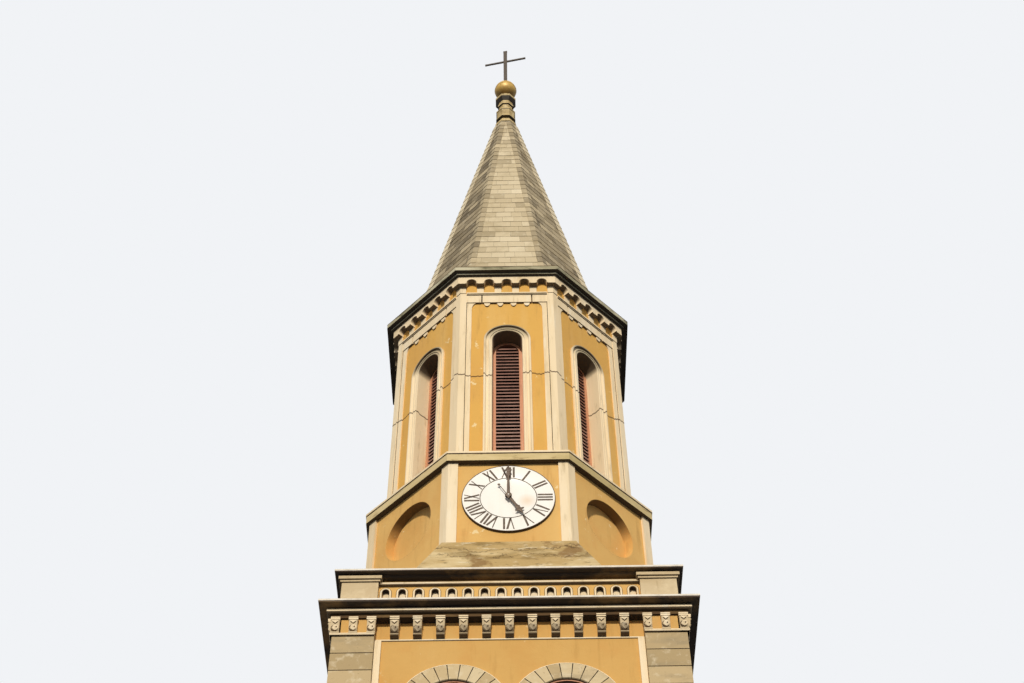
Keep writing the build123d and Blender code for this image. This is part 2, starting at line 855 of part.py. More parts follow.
# Wooden frames of the louvred shutters, at the inner edge of the wall
with BuildPart() as shutter_side:
    front = wall_plane(belfry_apothem - belfry_wall + shutter_frame_depth)
    rim = arched_face(front, louvre_half, louvre_foot, louvre_head, louvre_sides)
    extrude(rim, amount=-shutter_frame_depth)
    clear = louvre_half - shutter_frame_width
    foot = louvre_foot + shutter_frame_width
    hole = arched_face(front, clear, foot, louvre_head, louvre_sides)
    extrude(hole, amount=-shutter_frame_depth, mode=Mode.SUBTRACT)

with BuildPart() as louvre_frames:
    with PolarLocations(0, 8):
        add(shutter_side.part)

louvre_frames.part.label = "louvre_frames"
export_step(louvre_frames.part, "parts/louvre_frames.step")

# Slats of one shutter: overlapping boards down the opening, each with its lip outward,
# trimmed to the arch of the frame
with BuildPart() as slat_side:
    clear = louvre_half - shutter_frame_width
    foot = louvre_foot + shutter_frame_width
    back = belfry_apothem - belfry_wall + slat_back_gap
    inner = back + slat_thickness
    count = ceil((louvre_head + clear - foot) / slat_pitch)
    boards = [(-back, foot)]
    for index in range(count):
        boards += [(-inner - slat_run, foot + index * slat_pitch)]
        boards += [(-inner, foot + (index + 1) * slat_pitch)]
    boards += [(-back, foot + count * slat_pitch)]
    extrude(outline_face(Plane.YZ.offset(-clear), boards), amount=2 * clear)
    front = wall_plane(belfry_apothem)
    shutter = arched_face(front, clear, foot, louvre_head, louvre_sides)
    extrude(shutter, amount=-belfry_wall, mode=Mode.INTERSECT)

with BuildPart() as louvre_slats:
    with PolarLocations(0, 8):
        add(slat_side.part)

louvre_slats.part.label = "louvre_slats"
export_step(louvre_slats.part, "parts/louvre_slats.step")

# Band across each belfry bay under a projecting line, with two upright grooves, a fringe of
# hanging lobes below it and a sloped haunch at each end of the fringe
with BuildPart() as band_side:
    face = wall_plane(belfry_apothem)
    reach = belfry_bay_half
    corners = [(-reach, band_foot), (reach, band_foot), (reach, band_head), (-reach, band_head)]
    extrude(outline_face(face, corners), amount=band_face)
    corners = [(-reach, band_head), (reach, band_head), (reach, corbel_foot), (-reach, corbel_foot)]
    extrude(outline_face(face, corners), amount=band_line_face)
    for x in (-reach * notch_share, reach * notch_share):
        left = x - notch_width / 2
        right = x + notch_width / 2
        notch = [(left, band_foot), (right, band_foot), (right, band_head), (left, band_head)]
        extrude(outline_face(face, notch), amount=band_face, mode=Mode.SUBTRACT)
    for x in row(pendant_count, pendant_pitch):
        lobe = [(x - pendant_half, band_foot), (x - pendant_half / 2, band_foot - pendant_drop)]
        lobe += [(x + pendant_half / 2, band_foot - pendant_drop), (x + pendant_half, band_foot)]
        extrude(outline_face(face, lobe), amount=belfry_strip_face)
    for turn in (-1, 1):
        end = turn * belfry_panel_half
        inner = end - turn * haunch_width
        haunch = [(inner, band_foot), (end, band_foot), (end, band_foot - haunch_drop)]
        extrude(outline_face(face, haunch), amount=belfry_strip_face)

with BuildPart() as belfry_bands:
    with PolarLocations(0, 8):
        add(band_side.part)

belfry_bands.part.label = "belfry_bands"
export_step(belfry_bands.part, "parts/belfry_bands.step")

# Arched corbel table under the eaves: a projecting arcade of small round arches, each
# corbel stepped back to a shallow shaft on the wall
with BuildPart() as corbel_side:
    front = belfry_apothem + corbel_face
    extrude(side_plan(corbel_foot, front, belfry_apothem, 8), amount=corbel_height)
    pitch = 2 * (front * tan(pi / 8) - corbel_end) / corbel_arches
    arch_half = (pitch - corbel_width) / 2
    arch_spring = eaves_foot - corbel_crown - arch_half
    foot = corbel_foot - cut_past
    for x in row(corbel_arches, pitch):
        cut = arched_face(wall_plane(front), arch_half, foot, arch_spring, corbel_arch_sides, x)
        extrude(cut, amount=-corbel_face, mode=Mode.SUBTRACT)
    corbel_low = arch_spring - corbel_drop
    shaft_front = belfry_apothem + corbel_shaft_face
    step_back = [(-front - cut_past, foot), (-front - cut_past, corbel_low)]
    step_back += [(-shaft_front, corbel_low), (-shaft_front, foot)]
    cutter = outline_face(Plane.YZ.offset(-front), step_back)
    extrude(cutter, amount=2 * front, mode=Mode.SUBTRACT)

with BuildPart() as corbel_table:
    with PolarLocations(0, 8):
        add(corbel_side.part)

corbel_table.part.label = "corbel_table"
export_step(corbel_table.part, "parts/corbel_table.step")

# Eaves cornice that closes the belfry and carries the spire
with BuildPart() as eaves_cornice:
    bed_plan = full_plan(eaves_foot, belfry_apothem + eaves_bed_face, 8)
    extrude(bed_plan, amount=eaves_bed_height)
    edge_plan = full_plan(eaves_foot + eaves_bed_height, belfry_apothem + eaves_face, 8)
    extrude(edge_plan, amount=eaves_height - eaves_bed_height)

eaves_cornice.part.label = "eaves_cornice"
export_step(eaves_cornice.part, "parts/eaves_cornice.step")

# Spire: an octagonal shell with a slight flare at its foot
with BuildPart() as spire:
    knee = spire_foot + spire_flare_height
    knee_share = spire_flare_height / spire_height
    knee_apothem = spire_foot_apothem + (spire_top_apothem - spire_foot_apothem) * knee_share
    frustum(spire_foot, knee, spire_foot_apothem + spire_flare, knee_apothem, 8)
    frustum(knee, spire_top, knee_apothem, spire_top_apothem, 8)
    room_foot = spire_foot_apothem - spire_shell
    room_top = spire_top_apothem - spire_shell
    frustum(spire_foot, spire_top - spire_shell, room_foot, room_top, 8, Mode.SUBTRACT)

spire.part.label = "spire"
export_step(spire.part, "parts/spire.step")

# Octagonal neck with two rings and a flared cap under the ball
with BuildPart() as finial_neck:
    levels = [
        (0, spire_top_apothem),
        (0.05, spire_top_apothem),
        (0.09, neck_radius),
        (0.26, neck_radius),
        (0.29, neck_radius + neck_ring),
        (0.34, neck_radius + neck_ring),
        (0.37, neck_radius),
        (0.6, neck_radius),
        (0.68, neck_cap_radius),
        (0.73, neck_cap_radius),
        (1.0, neck_top_radius),
    ]
    for (low, low_radius), (high, high_radius) in zip(levels, levels[1:]):
        low_level = spire_top + low * neck_height
        frustum(low_level, spire_top + high * neck_height, low_radius, high_radius, 8)

finial_neck.part.label = "finial_neck"
export_step(finial_neck.part, "parts/finial_neck.step")

# Gilded ball in flat bands, level where it meets the neck and the cross
with BuildPart() as finial_ball:
    flat = ball_radius - ball_sink
    lean = (ball_radius**2 - flat**2) ** 0.5
    turns = [pi * (step / ball_bands - 0.5) for step in range(1, ball_bands)]
    belly = [(ball_radius * sin(a), ball_radius * cos(a)) for a in turns]
    belly = [band for band in belly if abs(band[0]) < flat]
    bands = [(-flat, lean)] + belly + [(flat, lean)]
    for (low, low_radius), (high, high_radius) in zip(bands, bands[1:]):
        frustum(ball_level + low, ball_level + high, low_radius, high_radius, ball_sides)

finial_ball.part.label = "finial_ball"
export_step(finial_ball.part, "parts/finial_ball.step")

# Plain cross, turned a little about its upright
with BuildPart() as cross:
    face = Plane(origin=(0, -cross_thickness / 2, 0), x_dir=(1, 0, 0), z_dir=(0, -1, 0))
    with BuildSketch(face) as outline:
        with Locations((0, cross_foot + cross_height / 2)):
            Rectangle(cross_post, cross_height)
        with Locations((0, cross_foot + cross_arm_height)):
            Rectangle(cross_span, cross_bar)
    extrude(outline.sketch, amount=-cross_thickness)

with BuildPart() as turned_cross:
    add(cross.part.rotate(Axis.Z, cross_turn))

turned_cross.part.label = "finial_cross"
export_step(turned_cross.part, "parts/finial_cross.step")
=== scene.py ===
import math

import bpy
import numpy as np
from bpy.props import FloatProperty, FloatVectorProperty, IntProperty, PointerProperty
from mathutils import Matrix, Vector


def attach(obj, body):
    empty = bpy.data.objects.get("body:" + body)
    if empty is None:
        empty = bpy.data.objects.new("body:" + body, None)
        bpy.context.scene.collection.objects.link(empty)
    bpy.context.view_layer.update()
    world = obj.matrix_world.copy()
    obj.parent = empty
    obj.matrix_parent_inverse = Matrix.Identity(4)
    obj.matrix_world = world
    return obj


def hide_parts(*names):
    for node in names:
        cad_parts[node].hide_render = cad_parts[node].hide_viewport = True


bl_info = {
    "name": "Church clock tower",
    "version": (1, 0, 0),
    "blender": (4, 5, 0),
    "location": "View3D > Sidebar > Church tower",
    "description": "Finishes and masonry detail of a church clock tower",
    "category": "Object",
}

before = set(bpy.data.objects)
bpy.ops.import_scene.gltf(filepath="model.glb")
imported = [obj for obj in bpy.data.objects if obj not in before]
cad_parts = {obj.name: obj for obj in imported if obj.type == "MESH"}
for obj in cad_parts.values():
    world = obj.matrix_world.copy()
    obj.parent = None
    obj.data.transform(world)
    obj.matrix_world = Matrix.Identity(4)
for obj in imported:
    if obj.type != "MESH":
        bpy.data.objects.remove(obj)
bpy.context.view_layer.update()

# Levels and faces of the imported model, in metres
SHAFT = 2.46
QUOIN = 2.568
QUOIN_EDGE = 1.955
PLINTH_TOP = 0.9
STRINGS = (6.0, 12.0)
FRIEZE_FOOT = 16.905
FRIEZE_LINE = 16.952
BED_FOOT = 17.27
ATTIC_FOOT = 17.48
# Foot, top, reach and inner edge of the main and the attic cornice's slab
SLABS = ((17.42, 17.48, 2.79, 2.3), (18.18, 18.23, 2.622, 1.5))
ATTIC_WALL = 2.42
STAGE = 2.33
CLOCK = 19.99
NUMERAL_RING = 0.589
BELFRY_FOOT = 21.03
BELFRY = 2.075
BAND = (25.57, 25.79, 25.84)
BAY_HALF = 0.7618
PANEL_HALF = 0.6618
EAVES_FOOT = 26.23
SPIRE_FOOT = 26.38
SPIRE_TOP = 35.52
SPIRE_FOOT_HALF = 1.915
SPIRE_TOP_HALF = 0.255
# Height of the knee over the spire's foot, and how far the foot is spread below it
KNEE = 0.33
SPREAD = 0.06
BALL = 37.43
BALL_RADIUS = 0.275
# Turn of the cross about its post, in degrees
CROSS_TURN = -11
# Round-headed windows: centre, sill and springing
WINDOWS = ((-0.8, 13.2, 15.66), (0.8, 13.2, 15.66), (0.0, 7.6, 10.06))
WINDOW_HALF = 0.54
LOUVRE_HALF = 0.2835
LOUVRE_SILL = 21.21
LOUVRE_SPRING = 24.44
FLOOR_RADIUS = 18.0
# The sun's height and turn from the front, in degrees
SUN_LIFT = 22
SUN_SIDE = -3
# Where the photo was taken: distance, eye height, and pitch, roll, bearing and the turn of the
# view off the tower's axis in degrees; the focal length is in widths of the photo
CAMERA_DISTANCE = 20.0
EYE = 1.6
CAMERA_ANGLES = (51.8407, -0.7157, 0.3109, 0.2433)
FOCAL_LENGTH = 1582.05 / 1024
# Tone of a joint face, below the tones 0 to 1 of the blocks
JOINT = -1.0


def linear(code):
    """sRGB hex to linear with full alpha: each channel is raised to 2.4 after the offset of
    0.055, with the straight part near black."""
    channels = np.array([int(code[i : i + 2], 16) for i in (0, 2, 4)]) / 255
    bent = np.where(channels <= 0.04045, channels / 12.92, ((channels + 0.055) / 1.055) ** 2.4)
    return (*bent.tolist(), 1.0)


class TowerSizes(bpy.types.PropertyGroup):
    block_height: FloatProperty(
        name="Block height", default=0.314, unit="LENGTH",
        description="Height of one quoin block with its joint")
    slate_course: FloatProperty(
        name="Slate course", default=0.255, unit="LENGTH",
        description="Length of slope that one course of slates shows")
    slate_width: FloatProperty(
        name="Slate width", default=0.3, unit="LENGTH",
        description="Usual width of one slate")
    slat_pitch: FloatProperty(
        name="Slat pitch", default=0.0897, unit="LENGTH",
        description="Height from one louvre slat to the next")
    arch_stones: IntProperty(
        name="Arch stones", default=13,
        description="Number of wedge stones in one window arch")


class TowerColours(bpy.types.PropertyGroup):
    plaster: FloatVectorProperty(
        name="Plaster", default=linear("E2B66C")[:3], subtype="COLOR",
        description="Ochre limewash of the walls")
    render: FloatVectorProperty(
        name="Render", default=linear("F2DDB8")[:3], subtype="COLOR",
        description="Pale cream render of strips and mouldings")
    stone: FloatVectorProperty(
        name="Stone", default=linear("CBB48A")[:3], subtype="COLOR",
        description="Dressed limestone of quoins and window arches")
    slate: FloatVectorProperty(
        name="Slate", default=linear("C8B795")[:3], subtype="COLOR",
        description="Weathered slates of the spire")


# Materials


def add(tree, kind, inputs=None, **settings):
    """Adds one node, gives it its settings, and sets or links its inputs."""
    node = tree.nodes.new(kind)
    for key, value in settings.items():
        setattr(node, key, value)
    for key, value in (inputs or {}).items():
        socket = node.inputs[key]
        if isinstance(value, bpy.types.NodeSocket):
            tree.links.new(value, socket)
        else:
            socket.default_value = value
    return node


# How far each noise is drawn out along, back and up: less than 1 makes it longer that way
GRAINS = {
    "round": (1.0, 1.0, 1.0),
    "upright": (1.0, 1.0, 0.12),
    "level": (0.3, 0.3, 1.0),
    "boards": (1.0, 1.0, 0.05),
    "slats": (0.2, 0.2, 1.0),
    "crack": (1.0, 1.0, 0.0),
    "rift": (1.0, 1.0, 1.0),
}
# How far a crack wanders up and down, in metres
CRACK_DRIFT = 0.55
# Middle of the run of rust on the dial
RUST = (0.3, -2.37, 19.92)
FINISHES = {}


def coat_value(tree, place, kind, low, size):
    """Value that masks one coat: a noise of a grain size in mm, the distance to a wandering
    crack or rift at a height, a height, the distance to the rust on the dial, the upward share
    of the surface's direction, or the tone of a block."""
    if kind in GRAINS:
        spot = add(tree, "ShaderNodeMapping", {"Vector": place, "Scale": GRAINS[kind]}).outputs[0]
        grit = {"Vector": spot, "Scale": 1000 / size, "Detail": 5.0, "Roughness": 0.62}
        noise = add(tree, "ShaderNodeTexNoise", grit).outputs["Fac"]
        if kind not in ("crack", "rift"):
            return noise
        height = add(tree, "ShaderNodeSeparateXYZ", {0: place}).outputs["Z"]
        drift = {0: noise, 1: CRACK_DRIFT, 2: height}
        drift = add(tree, "ShaderNodeMath", drift, operation="MULTIPLY_ADD").outputs[0]
        away = add(tree, "ShaderNodeMath", {0: drift, 1: low}, operation="SUBTRACT").outputs[0]
        return add(tree, "ShaderNodeMath", {0: away}, operation="ABSOLUTE").outputs[0]
    if kind == "height":
        return add(tree, "ShaderNodeSeparateXYZ", {0: place}).outputs["Z"]
    if kind == "rust":
        reach = {0: place, 1: RUST}
        return add(tree, "ShaderNodeVectorMath", reach, operation="DISTANCE").outputs["Value"]
    if kind == "face":
        normal = add(tree, "ShaderNodeNewGeometry").outputs["Normal"]
        return add(tree, "ShaderNodeSeparateXYZ", {0: normal}).outputs["Z"]
    return add(tree, "ShaderNodeAttribute", attribute_name="tone").outputs["Fac"]


def finish(key, name, base, roughness, grain, layers, metallic=0.0, coat=0.0, clear=0.0):
    """A surface of coats over a base colour, kept under a key. A coat is (colour, kind, amount,
    low, high, and for a noise its size in mm): it grows from nothing where its value is low to
    its amount where the value is high, and a crack's high is its width. A grain is (size in
    mm, depth in mm) of the fine relief."""
    material = FINISHES[key] = bpy.data.materials.new(name)
    material.use_nodes = True
    tree = material.node_tree
    tree.nodes.clear()
    place = add(tree, "ShaderNodeTexCoord").outputs["Object"]
    colour = linear(base) if isinstance(base, str) else (*base, 1.0)
    for coat_colour, kind, amount, low, high, *size in layers:
        value = coat_value(tree, place, kind, low, *size or [0])
        limits = {"Value": value, "From Min": low, "From Max": high, "To Max": amount}
        if kind in ("crack", "rift"):
            limits |= {"From Min": high, "From Max": high * 0.4}
        mask = add(tree, "ShaderNodeMapRange", limits).outputs["Result"]
        mixed = {0: mask, 6: colour, 7: linear(coat_colour)}
        colour = add(tree, "ShaderNodeMix", mixed, data_type="RGBA").outputs[2]
    shader = {"Base Color": colour, "Roughness": roughness, "Metallic": metallic}
    shader |= {"Coat Weight": coat, "Transmission Weight": clear}
    relief = {}
    for size, depth in grain:
        grit = {"Vector": place, "Scale": 1000 / size, "Detail": 4.0}
        height = add(tree, "ShaderNodeTexNoise", grit).outputs["Fac"]
        bump = {"Height": height, "Distance": depth / 1000, "Strength": 1.0, **relief}
        relief = {"Normal": add(tree, "ShaderNodeBump", bump).outputs["Normal"]}
    face = add(tree, "ShaderNodeBsdfPrincipled", {**shader, **relief})
    add(tree, "ShaderNodeOutputMaterial", {"Surface": face.outputs["BSDF"]})


def make_finishes(colours):
    """Fills the table of finishes, with the four main colours from the panel."""
    # Ochre limewash on rough lime plaster: chalky and matt, clouded where rain has washed it,
    # with pale spots where the wash has flaked away, and painted shade, dark brown, on its
    # undersides
    wash_and_shade = (
        ("D2A056", "round", 0.6, 0.45, 0.72, 1500),
        ("E8C480", "upright", 0.65, 0.5, 0.75, 900),
        ("DDA55C", "round", 0.5, 0.5, 0.7, 420),
        ("F2DDAC", "round", 0.8, 0.665, 0.7, 240),
        ("B48848", "upright", 0.5, 0.56, 0.75, 120),
        # Painted shade: dark brown on surfaces that look down
        ("4A3318", "face", 0.88, -0.25, -0.8),
    )
    # The shaft, below the main cornice, is a little darker than the stages above it
    darker_shaft = (("B98C48", "height", 0.36, 17.5, 17.3),)
    finish("plaster", "ochre_limewash_plaster", colours.plaster, 0.92, ((160, 9), (14, 2.5)),
           wash_and_shade + darker_shaft)
    # The same wash on the belfry, a little paler, with the crack that runs round it
    crack = (("4A3018", "crack", 0.9, 23.72, 0.022, 620),)
    finish("belfry", "ochre_limewash_of_belfry", "DFAE58", 0.92, ((160, 8), (14, 2.5)),
           wash_and_shade[:2] + wash_and_shade[3:] + crack)
    # Cream render floated smooth: chalky, with grey rain streaks and painted shade, dark brown, on
    # its undersides
    streaks_and_shade = (
        ("F6E6C8", "upright", 0.8, 0.45, 0.7, 700),
        ("D2BA8E", "upright", 0.65, 0.5, 0.72, 300),
        ("AE9870", "upright", 0.55, 0.58, 0.74, 90),
        ("F8ECD2", "upright", 0.6, 0.6, 0.7, 170),
        # Painted shade: dark brown on surfaces that look down
        ("35230F", "face", 0.92, -0.2, -0.8),
    )
    finish("cream", "cream_floated_render", colours.render, 0.88, ((60, 3), (9, 1.2)), streaks_and_shade)
    finish("cracked_cream", "cream_render_of_belfry", colours.render, 0.88, ((60, 3), (9, 1.2)),
           streaks_and_shade + crack)
    # Cream render of the belfry arches: grey-brown towards the crown, with painted shade, dark
    # brown, on its undersides
    crown_grey_and_shade = (("8C8062", "height", 0.85, 24.42, 24.8), ("43321F", "face", 0.94, -0.08, -0.5))
    finish("arch_cream", "cream_architrave_with_painted_shade", colours.render, 0.88, ((60, 3), (9, 1.2)),
           streaks_and_shade[:4] + crown_grey_and_shade + crack)
    # Olive-stained render of the ledge, the piers' neighbour courses and the eaves bed, with
    # painted shade, near black, on its undersides
    finish("stained", "olive_stained_render", "D8C290", 0.9, ((90, 4), (12, 1.5)),
           (("B4A26C", "level", 0.7, 0.46, 0.68, 420),
            ("E2CFA0", "level", 0.7, 0.5, 0.7, 240),
            ("8A6E44", "level", 0.7, 0.56, 0.68, 90),
            ("2C1D0E", "face", 0.95, -0.2, -0.8)))
    # Pale limestone of the attic piers and other plain dressed pieces: grey-beige and pitted, with
    # painted shade, dark brown, on its undersides
    finish("pier", "pale_pier_stone", "D2BE9A", 0.88, ((70, 3), (10, 1.2)),
           (("BBA278", "level", 0.7, 0.46, 0.7, 480),
            ("E6D4B0", "round", 0.6, 0.52, 0.72, 200),
            ("9A835C", "upright", 0.5, 0.6, 0.74, 90),
            ("35230F", "face", 0.92, -0.2, -0.8)))
    # Dressed limestone: each block has its own tone, with pitted grey patches, dark joints, and
    # painted shade, dark brown, on its undersides
    finish("stone", "dressed_limestone", colours.stone, 0.86, ((70, 4), (10, 1.5)),
           (("DCCBA6", "tone", 0.9, 0.45, 1.0),
            ("A08A62", "tone", 0.8, 0.5, 0.0),
            ("94866C", "level", 0.6, 0.52, 0.7, 330),
            ("E4D6B8", "round", 0.6, 0.55, 0.72, 150),
            ("7D6B4C", "round", 0.6, 0.61, 0.74, 45),
            ("3F2D19", "face", 0.9, -0.25, -0.8),
            ("43321C", "tone", 0.95, -0.2, -0.8)))
    # Bare rubble where the render has fallen: worn pale stones in dark open joints
    finish("rubble", "bare_weathered_rubble", "BCA06C", 0.95, ((220, 40), (45, 16), (11, 3)),
           (("DCC79A", "level", 0.9, 0.48, 0.62, 420),
            ("8E7648", "level", 0.85, 0.52, 0.64, 260),
            ("E6D8B8", "level", 0.75, 0.58, 0.66, 120),
            ("8A6A3E", "round", 0.8, 0.6, 0.66, 700),
            ("5A4628", "rift", 0.75, 19.05, 0.016, 300),
            ("5A4628", "rift", 0.65, 18.86, 0.012, 230),
            ("6A5636", "level", 0.8, 0.6, 0.68, 55)))
    # Sheet-metal capping on old timber: dark brown edge and stained boards, pale grey on top, with
    # painted shade, near black, underneath
    finish("capping", "brown_capping_sheet", "3E2A18", 0.75, ((90, 3),),
           (("25160B", "level", 0.8, 0.45, 0.65, 300),
            ("1B1008", "face", 0.95, -0.2, -0.8),
            ("7A6038", "level", 0.75, 0.5, 0.68, 240),
            ("B8B0A0", "face", 0.9, 0.3, 0.9)))
    # Render of the cornice bed, always in shade: a dark olive-brown painted shade, mottled and near
    # black on its undersides, which other pieces take as painted shade too
    finish("bed", "cornice_bed_painted_shade", "5E4526", 0.9, ((60, 3),),
           (("2E1D0E", "level", 0.8, 0.45, 0.65, 350),
            ("8A6D40", "level", 0.7, 0.54, 0.7, 200),
            ("1E120A", "face", 0.96, -0.2, -0.8)))
    # Pale zinc drip edge: grey, dull, streaked
    finish("zinc", "zinc_drip_edge", "E6DED0", 0.5, ((50, 1),),
           (("B8AE9C", "round", 0.7, 0.45, 0.7, 160),))
    # Eaves: render under green-grey lichen, with painted shade, near black, on its undersides
    finish("eaves", "lichen_stained_eaves", "A19A7C", 0.9, ((60, 4),),
           (("CFC8AC", "level", 0.85, 0.46, 0.6, 380),
            ("5E5A42", "level", 0.85, 0.5, 0.6, 170),
            ("463F2C", "level", 0.7, 0.58, 0.7, 70),
            ("1C120A", "face", 0.97, -0.2, -0.8)))
    # Slates: split stone, each with its own tone, browned by lichen, with painted shade on their
    # downward faces
    finish("slate", "weathered_slates", colours.slate, 0.8, ((50, 3), (8, 0.8)),
           (("E6D8BA", "tone", 0.9, 0.5, 1.0),
            ("6C5F48", "tone", 0.95, 0.5, 0.0),
            ("94825C", "round", 0.5, 0.5, 0.7, 700),
            ("E2D8BE", "round", 0.45, 0.56, 0.72, 110),
            ("6A5B42", "face", 0.8, -0.3, -0.9)))
    # Boarding under the slates: dark, seen only at the gaps
    finish("underlay", "boarding_under_slates", "3A3326", 0.9, ((80, 3),),
           (("262018", "level", 0.8, 0.4, 0.6, 200),))
    # Old paint on the louvre slats: red-brown, chalked pink in patches and paler towards the
    # bottom, with painted shade, near black, on their undersides
    finish("slats", "red_brown_paint_on_slats", "8C5A48", 0.6, ((25, 0.6),),
           (("C0A094", "height", 0.65, 23.6, 21.6),
            ("C09484", "slats", 0.7, 0.48, 0.7, 120),
            ("5A3026", "round", 0.6, 0.5, 0.7, 200),
            ("140A08", "face", 0.97, 0.1, -0.4)))
    # Salmon paint on the shutter frames: faded, brown where it has worn, with painted shade, dark
    # brown, on its undersides
    finish("salmon", "faded_salmon_paint", "CF9470", 0.65, ((30, 0.8),),
           (("A8654A", "upright", 0.7, 0.48, 0.68, 160),
            ("E6BE9C", "upright", 0.6, 0.55, 0.72, 90),
            ("40241A", "face", 0.9, -0.1, -0.7)))
    # Brown oil paint on window bars and frames
    finish("frame_paint", "brown_oil_paint", "4A2D22", 0.5, ((20, 0.5),),
           (("6B4534", "upright", 0.7, 0.5, 0.7, 120),), coat=0.1)
    # Window glass: thin, faintly green, dusty
    finish("glass", "old_window_glass", "5E6B6C", 0.12, ((300, 2),),
           (("8E9488", "upright", 0.5, 0.5, 0.75, 260),), clear=0.35)
    # Oiled oak of the door: brown, with darker grain along the boards
    finish("oak", "oiled_oak_boards", "6B4427", 0.55, ((12, 0.8),),
           (("3F2614", "boards", 0.85, 0.45, 0.7, 60),
            ("8D6238", "boards", 0.6, 0.52, 0.72, 25)))
    # Vitreous enamel of the dial: white and glossy, with a run of rust right of the hands
    finish("enamel", "white_enamel_dial", "FBF8F2", 0.35, ((120, 0.8),),
           (("EFE6D4", "upright", 0.5, 0.5, 0.72, 300),
            ("E8C9A4", "rust", 0.6, 0.17, 0.02),
            ("D9BC98", "upright", 0.6, 0.66, 0.76, 210)), coat=0.2)
    # Brown-black paint of numerals and rings, worn grey
    finish("numerals", "worn_numeral_paint", "544230", 0.6, ((20, 0.4),),
           (("85725E", "round", 0.6, 0.5, 0.7, 60),))
    # Dark paint of the dial's rim, with painted shade, nearly black, underneath
    finish("rim", "dark_dial_rim", "5B3E26", 0.6, ((20, 0.5),),
           (("2A1A0E", "face", 0.95, 0.3, -0.3),))
    # Brown paint on the steel hands, with painted shade, near black, on their undersides
    finish("hands", "brown_painted_steel", "5E4A38", 0.5, ((25, 0.5),),
           (("806C5A", "round", 0.7, 0.5, 0.7, 80),
            ("21140C", "face", 0.9, -0.1, -0.6)), metallic=0.1)
    # Painted sheet of the finial neck: sun-bleached cream, with painted shade, near black, under
    # its rings
    finish("neck", "bleached_neck_sheet", "C9B078", 0.6, ((50, 2),),
           (("9A8253", "round", 0.8, 0.46, 0.66, 150),
            ("E2CFA4", "upright", 0.7, 0.54, 0.7, 90),
            ("1F150B", "face", 0.97, -0.1, -0.5)))
    # Leaf gilding on copper, worn in patches, with painted shade, brown, on its underside
    finish("gilding", "worn_leaf_gilding", "E2B860", 0.45, ((60, 1.5),),
           (("B98C40", "round", 0.6, 0.48, 0.66, 130),
            ("F4DC98", "round", 0.7, 0.54, 0.7, 70),
            ("6A4A20", "face", 0.75, -0.35, -0.9)), metallic=0.12)
    # Forged iron of the cross, dull and dark, with painted shade, near black, on its undersides
    finish("iron", "dark_forged_iron", "5A5148", 0.6, ((20, 0.8),),
           (("6E6254", "round", 0.6, 0.52, 0.7, 60),
            ("1A1B20", "face", 0.9, -0.2, -0.8)), metallic=0.4)
    # Plain mortar floors of the storeys
    finish("screed", "plain_floor_screed", "8F887B", 0.9, ((60, 2),),
           (("6E6759", "round", 0.7, 0.45, 0.65, 500),))


# Shapes. A solid is (points, [(faces, tones), ...]), with the faces of each entry of one size


def mm(*points, out=0.0, up=0.0):
    """Points of a profile given in millimetres from a place out and up, in metres."""
    return np.array(points) / 1000 + (out, up)


def skin(rings, tones=None, loop=False):
    """Surface over a grid of points: each ring is one closed row of points, and each
    quadrilateral joins a pair of neighbours in one ring to the same pair in the next. The
    first and last rings are closed by flat ends, or joined to each other by loop."""
    rings = np.asarray(rings, float)
    count, size = rings.shape[:2]
    index = np.arange(count * size).reshape(count, size)
    beside = np.roll(index, -1, axis=1)
    if loop:
        strips = (index, beside, np.roll(beside, -1, axis=0), np.roll(index, -1, axis=0))
    else:
        strips = (index[:-1], beside[:-1], beside[1:], index[1:])
    shade = np.full(len(strips[0]), 0.5) if tones is None else np.asarray(tones, float)
    faces = [(np.stack(strips, -1).reshape(-1, 4), np.repeat(shade, size))]
    if not loop:
        faces.append((np.stack([index[0][::-1], index[-1]]), shade[[0, -1]]))
    return rings.reshape(-1, 3), faces


def blocks(corners, tones=None):
    """Six-sided blocks: corners is (count, 8, 3), the four corners of one end in order round
    it and then the four of the other end."""
    corners = np.asarray(corners, float)
    count = len(corners)
    sides = [(0, 3, 2, 1), (4, 5, 6, 7), (0, 1, 5, 4), (1, 2, 6, 5), (2, 3, 7, 6), (3, 0, 4, 7)]
    faces = (np.arange(count)[:, None, None] * 8 + np.array(sides)).reshape(-1, 4)
    shade = np.full(count, 0.5) if tones is None else np.asarray(tones, float)
    return corners.reshape(-1, 3), [(faces, np.repeat(shade, 6))]


def bar(x0, x1, d0, d1, z0, z1):
    """Corners of one straight block between two places along, out and up."""
    end = [(x0, z0), (x1, z0), (x1, z1), (x0, z1)]
    return [(x, d0, z) for x, z in end] + [(x, d1, z) for x, z in end]


def extruded(outline, low, high, axis=1):
    """A flat outline carried straight between two places along one axis."""
    outline = np.asarray(outline, float)
    return skin([np.insert(outline, axis, level, axis=1) for level in (low, high)])


def moved(solid, by):
    """The solid shifted along, out and up."""
    return solid[0] + np.asarray(by, float), solid[1]


def on_wall(solid, turn=0.0):
    """Sets out a solid drawn as along, out and up on a wall: out is turned from the tower's
    axis towards the side that the wall faces, so that a point (a, d, z) comes to
    (a cos t + d sin t, a sin t - d cos t, z)."""
    along, out, up = solid[0].T
    cosine, sine = math.cos(turn), math.sin(turn)
    spot = np.stack([along * cosine + out * sine, along * sine - out * cosine, up], -1)
    return spot, solid[1]


def on_walls(solids, count, start=0, stop=None):
    """The same solids on each of a number of walls round the tower."""
    turns = [2 * math.pi * step / count for step in range(start, stop or count)]
    return [on_wall(solid, turn) for turn in turns for solid in solids]


